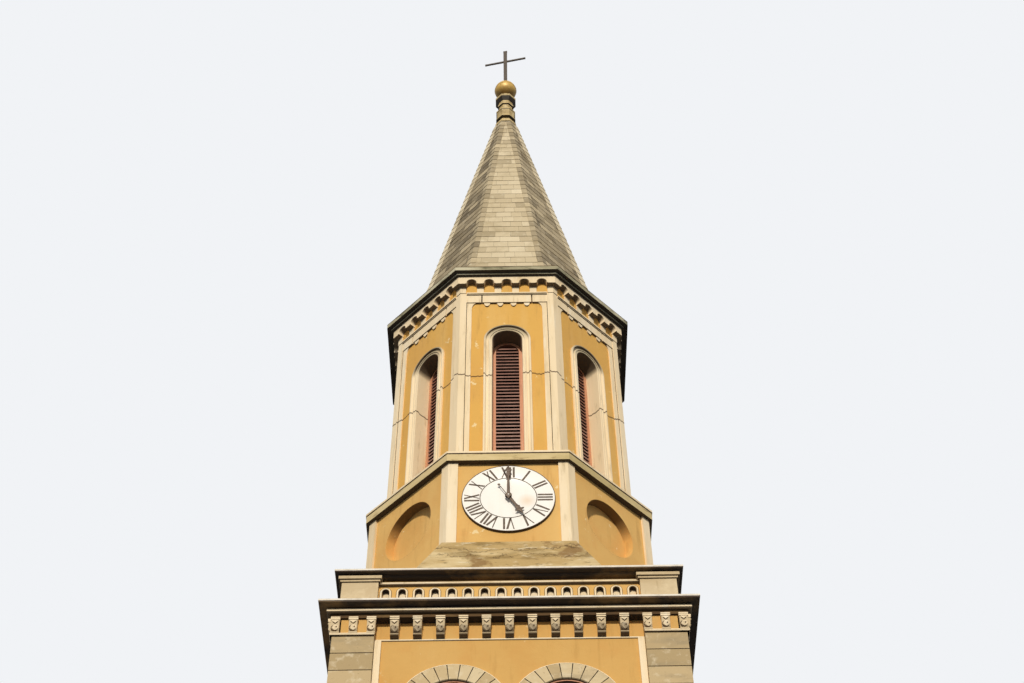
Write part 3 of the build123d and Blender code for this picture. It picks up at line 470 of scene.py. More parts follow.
def outward(solid):
    """Turns a solid's faces outwards: the volume under its faces, summed as tetrahedra from
    the first corner of each face, is positive when they look out."""
    points, faces = solid
    total = 0.0
    centred = points - points.mean(axis=0)
    for loops, _ in faces:
        first = centred[loops[:, 0]]
        for i in range(1, loops.shape[1] - 1):
            cross = np.cross(centred[loops[:, i]], centred[loops[:, i + 1]])
            total += np.einsum("ij,ij->", first, cross)
    return (points, [(loops[:, ::-1], tone) for loops, tone in faces]) if total < 0 else solid


def piece(name, solids, coat, body="root", stands_for=(), smooth=None):
    """Makes one mesh object of the solids, with each block's tone on its faces."""
    points, loops, tones, start = [], [], [], 0
    for solid in map(outward, solids):
        points.append(solid[0])
        for faces, tone in solid[1]:
            loops += (faces + start).tolist()
            tones.append(tone)
        start += len(solid[0])
    mesh = bpy.data.meshes.new(name)
    mesh.from_pydata(np.concatenate(points).tolist(), [], loops)
    tone_layer = mesh.attributes.new("tone", "FLOAT", "FACE")
    tone_layer.data.foreach_set("value", np.concatenate(tones).astype(np.float32))
    if smooth:
        mesh.shade_smooth()
        mesh.set_sharp_from_angle(angle=math.radians(smooth))
    mesh.materials.append(FINISHES[coat])
    mesh.update()
    made = bpy.data.objects.new(name, mesh)
    bpy.context.scene.collection.objects.link(made)
    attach(made, body)
    if stands_for:
        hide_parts(*stands_for)
    return made


def paint(coat, *names):
    """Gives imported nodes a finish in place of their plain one."""
    for name in names:
        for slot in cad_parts[name].material_slots:
            slot.material = FINISHES[coat]


def arch_line(along, radius, sill, spring):
    """Place and outward direction on the line of a round-headed opening, by the distance
    along it: up the left jamb, round the half circle and down the right jamb."""
    rise = spring - sill
    turn = np.clip((along - rise) / (math.pi * radius), 0, 1) * math.pi
    past = np.clip(along - rise - math.pi * radius, 0, None)
    x = -radius * np.cos(turn)
    z = np.where(along < rise, sill + along, spring + radius * np.sin(turn) - past)
    return x, z, -np.cos(turn), np.sin(turn)


def arch_band(along, radius, sill, spring, sections, tones=None):
    """A profile carried along an arched line. Each section is a row of (across, out), with
    across measured away from the opening."""
    x, z, nx, nz = (value[:, None] for value in arch_line(along, radius, sill, spring))
    across, out = sections[..., 0], sections[..., 1]
    return skin(np.stack([x + across * nx, out, z + across * nz], -1), tones)


def arch_rim(section, radius, sill, spring, steps=24):
    """One unbroken profile round an arched opening, open at its foot."""
    rise = spring - sill
    curve = rise + math.pi * radius * np.linspace(0, 1, steps + 1)
    marks = np.concatenate([[0.0], curve, [curve[-1] + rise]])
    return arch_band(marks, radius, sill, spring, np.repeat(np.array(section)[None], len(marks), 0))


def jointed(edges, gap, inner, random):
    """Marks along a line of blocks: each block has a mark at its joint, one a gap past it,
    points between, and one a gap before the next joint. Returns the places, 1 at a joint and
    0 elsewhere, and the tones of the strips between, with the joint faces marked."""
    edges = np.asarray(edges, float)
    width = np.diff(edges)[:, None]
    full = edges[:-1, None] + gap + np.linspace(0, 1, inner + 2) * (width - 2 * gap)
    marks = np.concatenate([edges[:-1, None], full], axis=1).ravel()
    depth = np.tile([1.0] + [0.0] * (inner + 2), len(width))
    tones = np.full((len(width), inner + 3), JOINT)
    tones[:, 1:-1] = random.uniform(0.1, 0.95, (len(width), 1))
    return np.append(marks, edges[-1]), np.append(depth, 1.0), tones.ravel()


def arch_stones(section, radius, sill, spring, jamb_count, arch_count, gap, groove, random):
    """Jamb blocks and wedge stones round an opening: the profile is carried along the arched
    line and shrinks by the groove's depth at each joint, by its last number of each corner."""
    rise = spring - sill
    jamb = np.linspace(0, rise, jamb_count + 1)
    arch = rise + math.pi * radius * np.arange(1, arch_count + 1) / arch_count
    edges = np.concatenate([jamb, arch, arch[-1] + jamb[1:]])
    marks, depth, tones = jointed(edges, gap, 3, random)
    corner = np.array(section)
    out = corner[:, 1] - groove * depth[:, None] * corner[:, 2]
    sections = np.stack([np.broadcast_to(corner[:, 0], out.shape), out], -1)
    return arch_band(marks, radius, sill, spring, sections, tones)


def arched_outline(radius, foot, spring, steps=24):
    """Closed outline of a round-headed opening."""
    turn = np.linspace(0, math.pi, steps + 1)
    arch = np.stack([radius * np.cos(turn), spring + radius * np.sin(turn)], -1)
    return np.concatenate([[(-radius, foot), (radius, foot)], arch])


def arched_frame(outer, inner, foot, inner_foot, spring, back, front, steps=24):
    """A flat frame between two arched outlines, from its back to its front."""
    outside = arched_outline(outer, foot, spring, steps)
    inside = arched_outline(inner, inner_foot, spring, steps)
    rows = ((outside, back), (outside, front), (inside, front), (inside, back))
    return skin([np.insert(row, 1, level, axis=1) for row, level in rows], loop=True)


def course(profile, sides, loop=False):
    """A moulding carried round a regular tower: profile is rows of (apothem, height), and a
    corner lies at the apothem over the cosine of half a side's turn."""
    profile = np.asarray(profile, float)
    turn = 2 * math.pi * (np.arange(sides) + 0.5) / sides
    reach = profile[:, :1] / math.cos(math.pi / sides)
    up = np.repeat(profile[:, 1:], sides, axis=1)
    return skin(np.stack([reach * np.sin(turn), -reach * np.cos(turn), up], -1), loop=loop)


def turned(profile, centre=(0.0, 0.0), sides=48, loop=False):
    """A profile turned about an axis that looks straight out of the wall: rows of (radius,
    out), about a centre given as (along, up)."""
    profile = np.asarray(profile, float)
    turn = np.linspace(0, 2 * math.pi, sides, endpoint=False)
    radius = profile[:, :1]
    out = np.repeat(profile[:, 1:], sides, axis=1)
    x = centre[0] + radius * np.cos(turn)
    return skin(np.stack([x, out, centre[1] + radius * np.sin(turn)], -1), loop=loop)


def circle(radius, centre, steps=12):
    """Points round a small circle."""
    turn = np.linspace(0, 2 * math.pi, steps, endpoint=False)
    return np.stack([centre[0] + radius * np.cos(turn), centre[1] + radius * np.sin(turn)], -1)


# Pieces


class TOWER_OT_finishes(bpy.types.Operator):
    """Make the finishes and lay them on walls, strips, courses and floors"""

    bl_idname = "tower.finishes"
    bl_label = "Finishes"

    def execute(self, context):
        make_finishes(context.scene.tower_colours)
        paint("plaster", "front_wall", "right_wall", "back_wall", "left_wall")
        paint("plaster", "attic_walls", "clock_stage_walls")
        paint("belfry", "belfry_walls")
        paint("cream", "clock_stage_strips", "corbel_table")
        paint("cracked_cream", "belfry_pilasters")
        paint("stained", "belfry_ledge")
        paint("bed", "cornice_bed")
        paint("rubble", "stone_aprons")
        paint("eaves", "eaves_cornice")
        paint("screed", "floors")
        return {"FINISHED"}


class TOWER_OT_quoins(bpy.types.Operator):
    """Build the quoin blocks, their margins and the string courses of the shaft"""

    bl_idname = "tower.quoins"
    bl_label = "Quoins and courses"

    def execute(self, context):
        height = context.scene.tower_sizes.block_height
        random = np.random.default_rng(11)
        gap, groove = 0.007, 0.02
        storeys = ((PLINTH_TOP, STRINGS[0]), (STRINGS[0] + 0.25, STRINGS[1]))
        storeys += ((STRINGS[1] + 0.25, 16.95),)
        stones, margins = [], []
        for low, high in storeys:
            edges = np.append(np.arange(high, low + height * 0.6, -height), low)[::-1]
            marks, depth, tones = jointed(edges, gap, 0, random)
            outer, near = QUOIN - groove * depth, QUOIN_EDGE + groove * depth
            wall = np.full_like(outer, SHAFT)
            plan = [(outer, outer), (near, outer), (near, wall), (wall, wall), (wall, near)]
            plan += [(outer, near)]
            ring = np.stack([np.stack([-x, -y, marks], -1) for x, y in plan], 1)
            for step in range(4):
                turn = step * math.pi / 2
                points, faces = skin(ring, tones)
                stones.append((points @ np.array(Matrix.Rotation(-turn, 3, "Z")), faces))
            top = min(high, FRIEZE_FOOT + 0.01)
            for side in (-1, 1):
                inner, outer_edge = side * (QUOIN_EDGE - 0.101), side * (QUOIN_EDGE - 0.007)
                margins.append([bar(inner, outer_edge, SHAFT - 0.01, SHAFT + 0.045, low, top)])
        piece("quoin_blocks", stones, "stone", stands_for=["corner_quoins"])
        rows = [blocks(corners) for corners in margins]
        piece("quoin_margins", on_walls(rows, 4), "cream")
        # Plastered friezes over the quoins, behind the corner brackets, on a thin moulding
        line = mm((-108, 0), (30, 0), (36, 20), (30, 38), (-108, 38), out=QUOIN, up=FRIEZE_LINE)
        corner_rows, lines = [], []
        for side in (-1, 1):
            inner, outer_edge = side * QUOIN_EDGE, side * (QUOIN - 0.003)
            levels = (FRIEZE_LINE, BED_FOOT - 0.001)
            block = bar(inner, outer_edge, SHAFT - 0.01, QUOIN - 0.003, *levels)
            corner_rows.append(blocks([block]))
            ends = sorted((side * (QUOIN_EDGE - 0.005), side * (QUOIN + 0.03)))
            lines.append(extruded(line, *ends, 0))
        thin = mm((-4, -24), (12, -20), (16, -12), (16, 4), (-4, 12), out=SHAFT, up=FRIEZE_LINE)
        upper = mm((-4, 0), (50, 4), (55, 12), (55, 40), (-4, 40), out=ATTIC_WALL, up=18.04)
        thin_lines = [extruded(thin, -QUOIN_EDGE, QUOIN_EDGE, 0), extruded(upper, -1.96, 1.96, 0)]
        piece("frieze_lines", on_walls(thin_lines, 4), "cream",
              stands_for=["frieze_mouldings"])
        piece("quoin_friezes", on_walls(corner_rows, 4), "plaster")
        piece("quoin_lines", on_walls(lines, 4), "cream")
        string = ((0, 0), (170, 0), (170, 45), (155, 60), (155, 100), (165, 115), (165, 150))
        string += ((80, 235), (0, 250), (-200, 250), (-200, 0))
        courses = [course(mm(*string, out=SHAFT, up=level), 4, True) for level in STRINGS]
        piece("string_mouldings", courses, "cream", stands_for=["string_courses"])
        return {"FINISHED"}


class TOWER_OT_plinth(bpy.types.Operator):
    """Build the plinth blocks round the foot of the shaft"""

    bl_idname = "tower.plinth"
    bl_label = "Plinth"

    def execute(self, context):
        random = np.random.default_rng(5)
        # Half the plinth's length, half the gap that it leaves for the portal, and the length
        # and joint of its blocks; its two rows are (foot, top, reach, shift along)
        half, portal, length, gap = 2.65, 1.08, 0.78, 0.006
        rows = ((0.0, 0.44, 0.19, 0.3), (0.446, 0.83, 0.18, 0.0))
        solids = []
        for turn in range(4):
            limits = [(-half, half)] if turn else [(-half, -portal), (portal, half)]
            for left, right in limits:
                for low, high, reach, shift in rows:
                    number = max(2, round((right - left) / length))
                    edges = np.linspace(left, right, number + 1)
                    edges[1:-1] += shift
                    level = (SHAFT, SHAFT + reach, low, high - gap)
                    corners = [bar(a + gap, b - gap, *level) for a, b in zip(edges, edges[1:])]
                    solid = blocks(corners, random.uniform(0.1, 0.9, number))
                    solids.append(on_wall(solid, turn * math.pi / 2))
                cap = mm((0, 0), (190, 0), (190, 20), (110, 70), (0, 70), out=SHAFT, up=0.83)
                solids.append(on_wall(extruded(cap, left, right, 0), turn * math.pi / 2))
        piece("plinth_blocks", solids, "stone", stands_for=["plinth"])
        return {"FINISHED"}


class TOWER_OT_windows(bpy.types.Operator):
    """Build the arch stones, sills, frames and glazing bars of the shaft windows"""

    bl_idname = "tower.windows"
    bl_label = "Windows"

    def execute(self, context):
        sizes = context.scene.tower_sizes
        random = np.random.default_rng(3)
        stones, sills, frames, bars, boxes, halos = [], [], [], [], [], []
        front = SHAFT + 0.04
        section = [(0.0, SHAFT - 0.168, 0), (0.0, front - 0.01, 1), (0.012, front, 1)]
        section += [(0.268, front, 1), (0.268, SHAFT - 0.01, 0), (0.03, SHAFT - 0.01, 0)]
        section += [(0.03, SHAFT - 0.168, 0)]
        # Ragged edge of the plaster round the stones
        worn = mm((262, -4), (262, 42), (276, 36), (286, 12), (286, -4), up=SHAFT)
        face = SHAFT - 0.165
        back, lead = face - 0.058, face - 0.022
        # Each window is drawn about its own middle: a thick post and transom, three thin cross
        # bars and two thin uprights
        wide, thick = (-0.465, 0.465), (back, lead + 0.012)
        for centre, sill, spring in WINDOWS:
            foot = sill + 0.07
            bays = [
                bar(-0.03, 0.03, *thick, foot, spring + 0.45),
                bar(*wide, *thick, spring - 0.03, spring + 0.03),
            ]
            for z in (sill + 0.62, sill + 1.23, sill + 1.84):
                bays.append(bar(*wide, back, lead, z - 0.014, z + 0.014))
            for x in (-0.24, 0.24):
                bays.append(bar(x - 0.012, x + 0.012, back, lead, foot, spring + 0.38))
            shape = (WINDOW_HALF - 0.012, sill, spring, 7, sizes.arch_stones, 0.005, 0.018)
            sash = (0.472, 0.44, sill + 0.068, sill + 0.1, spring, face - 0.06, face - 0.02)
            box = (0.537, 0.505, sill, sill + 0.03, spring, face - 0.003, SHAFT + 0.005)
            ledge = mm((-170, -20), (60, -20), (60, -8), (-170, 12), out=SHAFT, up=sill)
            for solid, made in (
                (arch_stones(section, *shape, random), stones),
                (arched_frame(0.535, 0.47, sill, foot, spring, face - 0.075, face), frames),
                (arched_frame(*sash), frames),
                (arched_frame(*box), boxes),
                (arch_rim(worn, WINDOW_HALF - 0.006, sill, spring, 26), halos),
                (blocks(bays), bars),
                (extruded(ledge, -0.54, 0.54, 0), sills),
            ):
                made.append(moved(solid, (centre, 0, 0)))
        # Moulded sill courses, one under each pair and one under each single window
        for reach, sill in ((1.653, WINDOWS[0][1]), (0.853, WINDOWS[2][1])):
            edge = ((0, -160), (85, -160), (95, -120), (110, -110), (110, -35), (100, -20), (0, 0))
            sills.append(extruded(mm(*edge, out=SHAFT, up=sill), -reach, reach, 0))
        piece("window_arch_stones", on_walls(stones, 4), "stone",
              stands_for=["window_surrounds"])
        piece("window_sill_stones", on_walls(sills, 4), "stone",
              stands_for=["window_sills"])
        piece("window_sashes", on_walls(frames, 4), "frame_paint",
              stands_for=["window_frames"], smooth=30)
        piece("glazing_bars", on_walls(bars, 4), "frame_paint")
        piece("window_box_frames", on_walls(boxes, 4), "salmon", smooth=30)
        piece("arch_edge_plaster", on_walls(halos, 4), "cream", smooth=30)
        paint("glass", "window_glass")
        return {"FINISHED"}


class TOWER_OT_doorway(bpy.types.Operator):
    """Build the portal stones and the boarded leaves of the front door"""

    bl_idname = "tower.doorway"
    bl_label = "Doorway"

    def execute(self, context):
        random = np.random.default_rng(8)
        sill, spring, radius = 0.2, 2.7, 0.784
        front = SHAFT + 0.23
        section = [(0.0, SHAFT - 0.255, 0), (0.0, SHAFT + 0.12, 0), (0.03, front - 0.06, 1)]
        section += [(0.05, front - 0.02, 1), (0.07, front, 1), (0.28, front, 1)]
        section += [(0.296, front - 0.02, 1), (0.296, SHAFT - 0.01, 0), (0.03, SHAFT - 0.01, 0)]
        section += [(0.03, SHAFT - 0.255, 0)]
        stones = [arch_stones(section, radius, 0.0, spring, 7, 13, 0.009, 0.02, random)]
        stones.append(blocks([bar(-0.8, 0.8, SHAFT - 0.3, SHAFT + 0.17, 0.0, 0.2)], [0.6]))
        solids = [on_wall(solid) for solid in stones]
        piece("portal_stones", solids, "stone", stands_for=["portal"])
        # Two leaves of five boards under a round head, with three battens and two iron straps
        face = SHAFT - 0.26
        pitch, width, head = 0.157, 0.152, 0.79
        boards, iron_work = [], []
        for side in (-1, 1):
            x0 = 0.006 + pitch * np.arange(5)
            for inner, outer in zip(side * x0, side * (x0 + width)):
                high = spring + np.sqrt(head**2 - np.array([inner, outer]) ** 2)
                end = [(inner, sill), (outer, sill), (outer, high[1]), (inner, high[0])]
                boards.append([(x, d, z) for d in (face - 0.05, face) for x, z in end])
            ends = sorted((side * 0.03, side * 0.76))
            for level in (0.45, 1.45, 2.45):
                boards.append(bar(*ends, face, face + 0.022, level - 0.07, level + 0.07))
            ends = sorted((side * 0.12, side * 0.785))
            for level in (0.62, 2.3):
                iron_work.append(bar(*ends, face, face + 0.03, level - 0.018, level + 0.018))
        boards.append(bar(-0.028, 0.028, face, face + 0.03, sill, spring + 0.78))
        leaves = [on_wall(blocks(boards))]
        piece("door_boards", leaves, "oak", stands_for=["entrance_doors"])
        knob = ((10, 0), (35, 4), (35, 10), (12, 20), (12, 45), (30, 50), (34, 65), (10, 80))
        handle = turned(mm(*knob, up=face), (0.1, 1.25), 20)
        solids = [on_wall(blocks(iron_work)), on_wall(handle)]
        piece("door_ironwork", solids, "iron", smooth=40)
        return {"FINISHED"}


class TOWER_OT_cornice(bpy.types.Operator):
    """Build the scrolled brackets and the fine mouldings of the main cornice"""

    bl_idname = "tower.cornice"
    bl_label = "Main cornice"

    def execute(self, context):
        # Side outline of a bracket as (thousandths of its depth, down) under its abacus
        side = ((0, 50), (930, 50), (920, 80), (880, 110), (840, 140), (800, 170), (720, 200))
        side += ((600, 226), (500, 244), (440, 252), (520, 262), (560, 276), (500, 290))
        side = mm(*side, (340, 302), (0, 305))
        abacus = ((0, 8), (1000, 8), (1000, 30), (950, 34), (950, 40), (970, 43), (970, 62))
        abacus = mm(*abacus, (900, 68), (0, 68))
        # The rolled end of the scroll: a pale boss over a disc of painted shade that shows to its
        # lower left as its undercut, with an eye of painted shade to its right
        undercut = circle(0.052, (-0.007, -0.205), 20)
        boss = circle(0.043, (0.006, -0.194), 20)
        eye = circle(0.011, (0.021, -0.187), 10)
        # A pointed leaf hangs over its own shadow, which is the leaf's lower edge drawn lower
        edge = ((-42, -92), (-30, -100), (-12, -112), (0, -127), (12, -112), (30, -100))
        edge = mm(*edge, (42, -92))
        leaf = np.concatenate([edge, mm((42, -76), (-42, -76))])
        shadow = np.concatenate([edge, edge[-2:0:-1] - (0.0, 0.013)])
        bodies, tops, leaves, bracket_shade_marks = [], [], [], []
        # Eleven brackets on the wall and three closer ones on each quoin, all as far out
        pitch, corner_pitch, half, reach = 0.334, 0.262, 0.062, 0.182
        places = [((step - 5) * pitch, SHAFT) for step in range(11)]
        for way in (-1, 1):
            centre = way * (QUOIN - 0.3)
            places += [(centre + step * corner_pitch, QUOIN) for step in (-1, 0, 1)]
        for x, back in places:
            depth = SHAFT + reach - back
            outline = np.stack([back - 0.004 + depth * side[:, 0], BED_FOOT - side[:, 1]], -1)
            bodies.append(extruded(outline, x - half, x + half, 0))
            outline = np.stack([back + depth * abacus[:, 0], BED_FOOT - abacus[:, 1]], -1)
            tops.append(extruded(outline, x - half - 0.007, x + half + 0.007, 0))
            for plate, rise, made in (
                (shadow, 0.003, bracket_shade_marks),
                (undercut, 0.002, bracket_shade_marks),
                (eye, 0.0095, bracket_shade_marks),
                (leaf, 0.011, leaves),
                (boss, 0.008, leaves),
            ):
                down = -plate[:, 1]
                out = back - 0.004 + depth * np.interp(down, side[1:10, 1], side[1:10, 0])
                rings = [
                    np.stack([x + plate[:, 0], out + level, BED_FOOT - down], -1)
                    for level in (-0.012, rise)
                ]
                made.append(skin(rings))
        piece("bracket_bodies", on_walls(bodies, 4), "pier",
              stands_for=["cornice_brackets"])
        piece("bracket_tops", on_walls(tops, 4), "cream")
        piece("bracket_leaves", on_walls(leaves, 4), "cream")
        # Painted shade of the brackets: the leaf's shadow, the scroll's undercut and its eye
        piece("bracket_painted_shade", on_walls(bracket_shade_marks, 4), "bed", smooth=30)
        slabs, drips = [], []
        for low, high, reach, inner in SLABS:
            slab = [(inner, low), (reach - 0.006, low), (reach - 0.006, high - 0.008)]
            slabs.append(course(slab + [(inner, high - 0.008)], 4, True))
            cover = [(inner, high - 0.0085), (reach - 0.0065, high - 0.0085)]
            cover += [(reach - 0.0065, high - 0.032), (reach, high - 0.032)]
            cover += [(reach, high - 0.0002), (inner, high - 0.0002)]
            drips.append(course(cover, 4, True))
        bed = mm((-300, 0), (0, 0), (12, 8), (30, 22), (30, 31), (-300, 31), out=2.5, up=18.15)
        slabs.append(course(bed, 4, True))
        piece("cornice_slabs", slabs, "capping",
              stands_for=["main_cornice", "attic_cornice"])
        piece("drip_edges", drips, "zinc")
        fillet = ((0, 0), (34, 0), (48, 12), (48, 52), (32, 67), (-30, 67))
        fillet = course(mm(*fillet, out=2.62, up=17.338), 4, True)
        piece("bed_fillet", [fillet], "cream")
        return {"FINISHED"}


class TOWER_OT_attic(bpy.types.Operator):
    """Build the rims of the blind niches of the attic, with painted shade for their dark linings
    and round their rims
    """

    bl_idname = "tower.attic"
    bl_label = "Attic"

    def execute(self, context):
        foot, spring = ATTIC_FOOT + 0.12, ATTIC_FOOT + 0.442
        wall = ATTIC_WALL
        rim = mm((6, -4), (6, 10), (10, 14), (28, 14), (34, 8), (34, -4), up=wall)
        lining = mm((0, -98), (0, 6), (7, 6), (7, 1), (4, -98), up=wall)
        edge = mm((33, -4), (33, 6), (41, 6), (41, -4), up=wall)
        niches, pitch = 16, 0.2468
        centres = (np.arange(niches) - (niches - 1) / 2) * pitch
        # The dark linings and the thin dark edges outside the rims are painted shade, in the niches
        # and round their rims
        for name, section, coat, slot in (
            ("niche_rims", rim, "cream", "cream_render"),
            ("niche_painted_shade", lining, "bed", "sheet_metal"),
            ("niche_rim_shadows", edge, "bed", "sheet_metal"),
        ):
            arch = arch_rim(section, 0.05, foot, spring, 10)
            solids = [moved(arch, (x, 0, 0)) for x in centres]
            piece(name, on_walls(solids, 4), coat, smooth=40)
        plate = extruded(arched_outline(0.053, foot - 0.01, spring, 10), wall - 0.098, wall - 0.062)
        plates = [moved(plate, (x, 0, 0)) for x in centres]
        piece("niche_backs", on_walls(plates, 4), "cream")
        # Corner piers under two-stepped caps, a little narrower than the caps on the wall side
        levels = [(2.51, 1.96, ATTIC_FOOT), (2.51, 1.96, 18.052), (2.532, 1.936, 18.056)]
        levels += [(2.536, 1.932, 18.084), (2.556, 1.912, 18.09), (2.56, 1.91, 18.096)]
        levels += [(2.56, 1.91, 18.15)]
        plans = [
            [(-outer, outer, z), (-inner, outer, z), (-inner, inner, z), (-outer, inner, z)]
            for outer, inner, z in levels
        ]
        piers = on_walls([skin(plans)], 4)
        piece("pier_stones", piers, "pier", stands_for=["attic_piers"])
        ends = [bar(-1.97, -1.9, 2.2, wall - 0.0003, ATTIC_FOOT, 18.15)]
        ends.append(bar(1.9, 1.97, 2.2, wall - 0.0003, ATTIC_FOOT, 18.15))
        piece("pier_returns", on_walls([blocks(ends)], 4), "plaster")
        return {"FINISHED"}


class TOWER_OT_clock_stage(bpy.types.Operator):
    """Build the smooth linings of the round recesses in the clock stage"""

    bl_idname = "tower.clock_stage"
    bl_label = "Clock stage"

    def execute(self, context):
        rows = [(0.547, STAGE - 0.171), (0.547, STAGE), (0.566, STAGE + 0.001)]
        rows += [(0.566, STAGE - 0.171)]
        lining = turned(rows, (0.0, CLOCK), 72, loop=True)
        solids = on_walls([lining], 8, start=1)
        piece("roundel_linings", solids, "plaster", smooth=40)
        return {"FINISHED"}


def numeral_strokes(text):
    """Strokes of a Roman numeral as four-cornered outlines about its middle: a thick and a
    thin stroke each for V and X, and a thick one for I."""
    widths = {"I": 0.06, "V": 0.146, "X": 0.12}
    left = -sum(widths[letter] for letter in text) / 2
    thick, thin, half = 0.0168, 0.0085, 0.122
    strokes = []
    for letter in text:
        middle = left + widths[letter] / 2
        reach = widths[letter] / 2 - 0.019
        if letter == "I":
            lines = [(middle, middle, thick)]
        elif letter == "V":
            lines = [(middle, middle - reach, thin), (middle, middle + reach, thick)]
        else:
            lines = [(middle + reach, middle - reach, thick)]
            lines += [(middle - reach, middle + reach, thin)]
        for low, high, wide in lines:
            stroke = [(low - wide, -half), (low + wide, -half), (high + wide, half)]
            strokes.append(stroke + [(high - wide, half)])
        left += widths[letter]
    return np.array(strokes)


def hand_blade(length, tail, root, leaves, back, front, turn):
    """A clock hand: at each place along it, its half width is a taper from hub to tip, plus a
    smooth swelling for each leaf, that of a cross-piece being flatter, and the ball of its
    tail. The section is a flat lozenge with bevelled edges."""
    along = np.linspace(-tail - 0.022, length, 170)
    places = [-tail, -0.02, 0.0, length * 0.88, length]
    half = np.interp(along, places, [0.005, 0.006, root, root * 0.55, 0.004])
    for place, spread, size, power in leaves:
        half += size * np.exp(-(np.abs((along - place) / spread) ** power))
    ball = np.sqrt(np.clip(0.022**2 - (along + tail) ** 2, 0, None))
    half = np.maximum(half, ball)
    half[0] = 0.002
    edge = half * 0.72
    low, high = back + 0.003, front - 0.003
    rows = [(-half, low), (-edge, back), (edge, back), (half, low), (half, high), (edge, front)]
    rows += [(-edge, front), (-half, high)]
    cosine, sine = math.cos(turn), math.sin(turn)
    ring = [
        (x * cosine + along * sine, np.full_like(x, out), CLOCK - x * sine + along * cosine)
        for x, out in rows
    ]
    return skin(np.stack([np.stack(row, -1) for row in ring], 1))


class TOWER_OT_clock(bpy.types.Operator):
    """Build the enamel dial, its numerals and rings, and the two hands"""

    bl_idname = "tower.clock"
    bl_label = "Clock"

    def execute(self, context):
        face = STAGE + 0.04
        centre = (0.0, CLOCK)
        dish = ((742, -38), (744, -3), (740, 0), (470, 0), (460, -3), (200, -3), (14, -3))
        dial = turned(mm(*dish, up=face), centre, 96)
        arbor = turned(mm((13.5, -10), (13.5, 78), (9, 83), up=face), centre, 24)
        solids = [on_wall(dial), on_wall(arbor)]
        piece("dial_plate", solids, "enamel", stands_for=["clock_dial"], smooth=25)
        rim = ((743, -40), (754.5, -40), (754.5, -14), (752, 2), (745, 2), (743, 0))
        rim = mm(*rim, up=face)
        piece("dial_rim", [on_wall(turned(rim, centre, 96, True))], "rim", smooth=40)
        marks = []
        texts = ("XII", "I", "II", "III", "IV", "V", "VI", "VII", "VIII", "IX", "X", "XI")
        for hour, text in enumerate(texts):
            strokes = numeral_strokes(text)
            turn = math.radians(hour * 30)
            u, v = strokes[..., 0], strokes[..., 1] + NUMERAL_RING
            x = u * math.cos(turn) + v * math.sin(turn)
            z = CLOCK - u * math.sin(turn) + v * math.cos(turn)
            ends = [np.stack([x, np.full_like(x, face + out), z], -1) for out in (-0.003, 0.0025)]
            marks.append(np.concatenate(ends, 1))
        ring = turned(circle(0.006, (0.456, face - 0.001), 8), centre, 96, True)
        solids = [on_wall(ring), on_wall(blocks(np.concatenate(marks)))]
        piece("dial_numerals", solids, "numerals", smooth=30)
        hour_leaves = [(0.33, 0.07, 0.018, 2), (0.355, 0.017, 0.048, 4), (0.28, 0.014, 0.014, 4)]
        minute_leaves = [(0.56, 0.09, 0.014, 4), (0.46, 0.014, 0.022, 4), (0.575, 0.016, 0.034, 4)]
        hands = (
            ("hour", 0.47, 0.305, 0.027, hour_leaves, 0.034, math.radians(150)),
            ("minute", 0.7, 0.06, 0.026, minute_leaves, 0.062, 0.0),
        )
        for name, length, tail, root, leaves, back, turn in hands:
            low = face + back
            blade = hand_blade(length, tail, root, leaves, low, low + 0.012, turn)
            hub = mm((14.2, 0), (54, 0), (56, 4), (50, 12), (30, 16), (14.2, 16), up=low)
            solids = [on_wall(blade), on_wall(turned(hub, centre, 32, True))]
            body = name + "_hand"
            piece(body + "_blade", solids, "hands", body, [body], smooth=30)
        return {"FINISHED"}


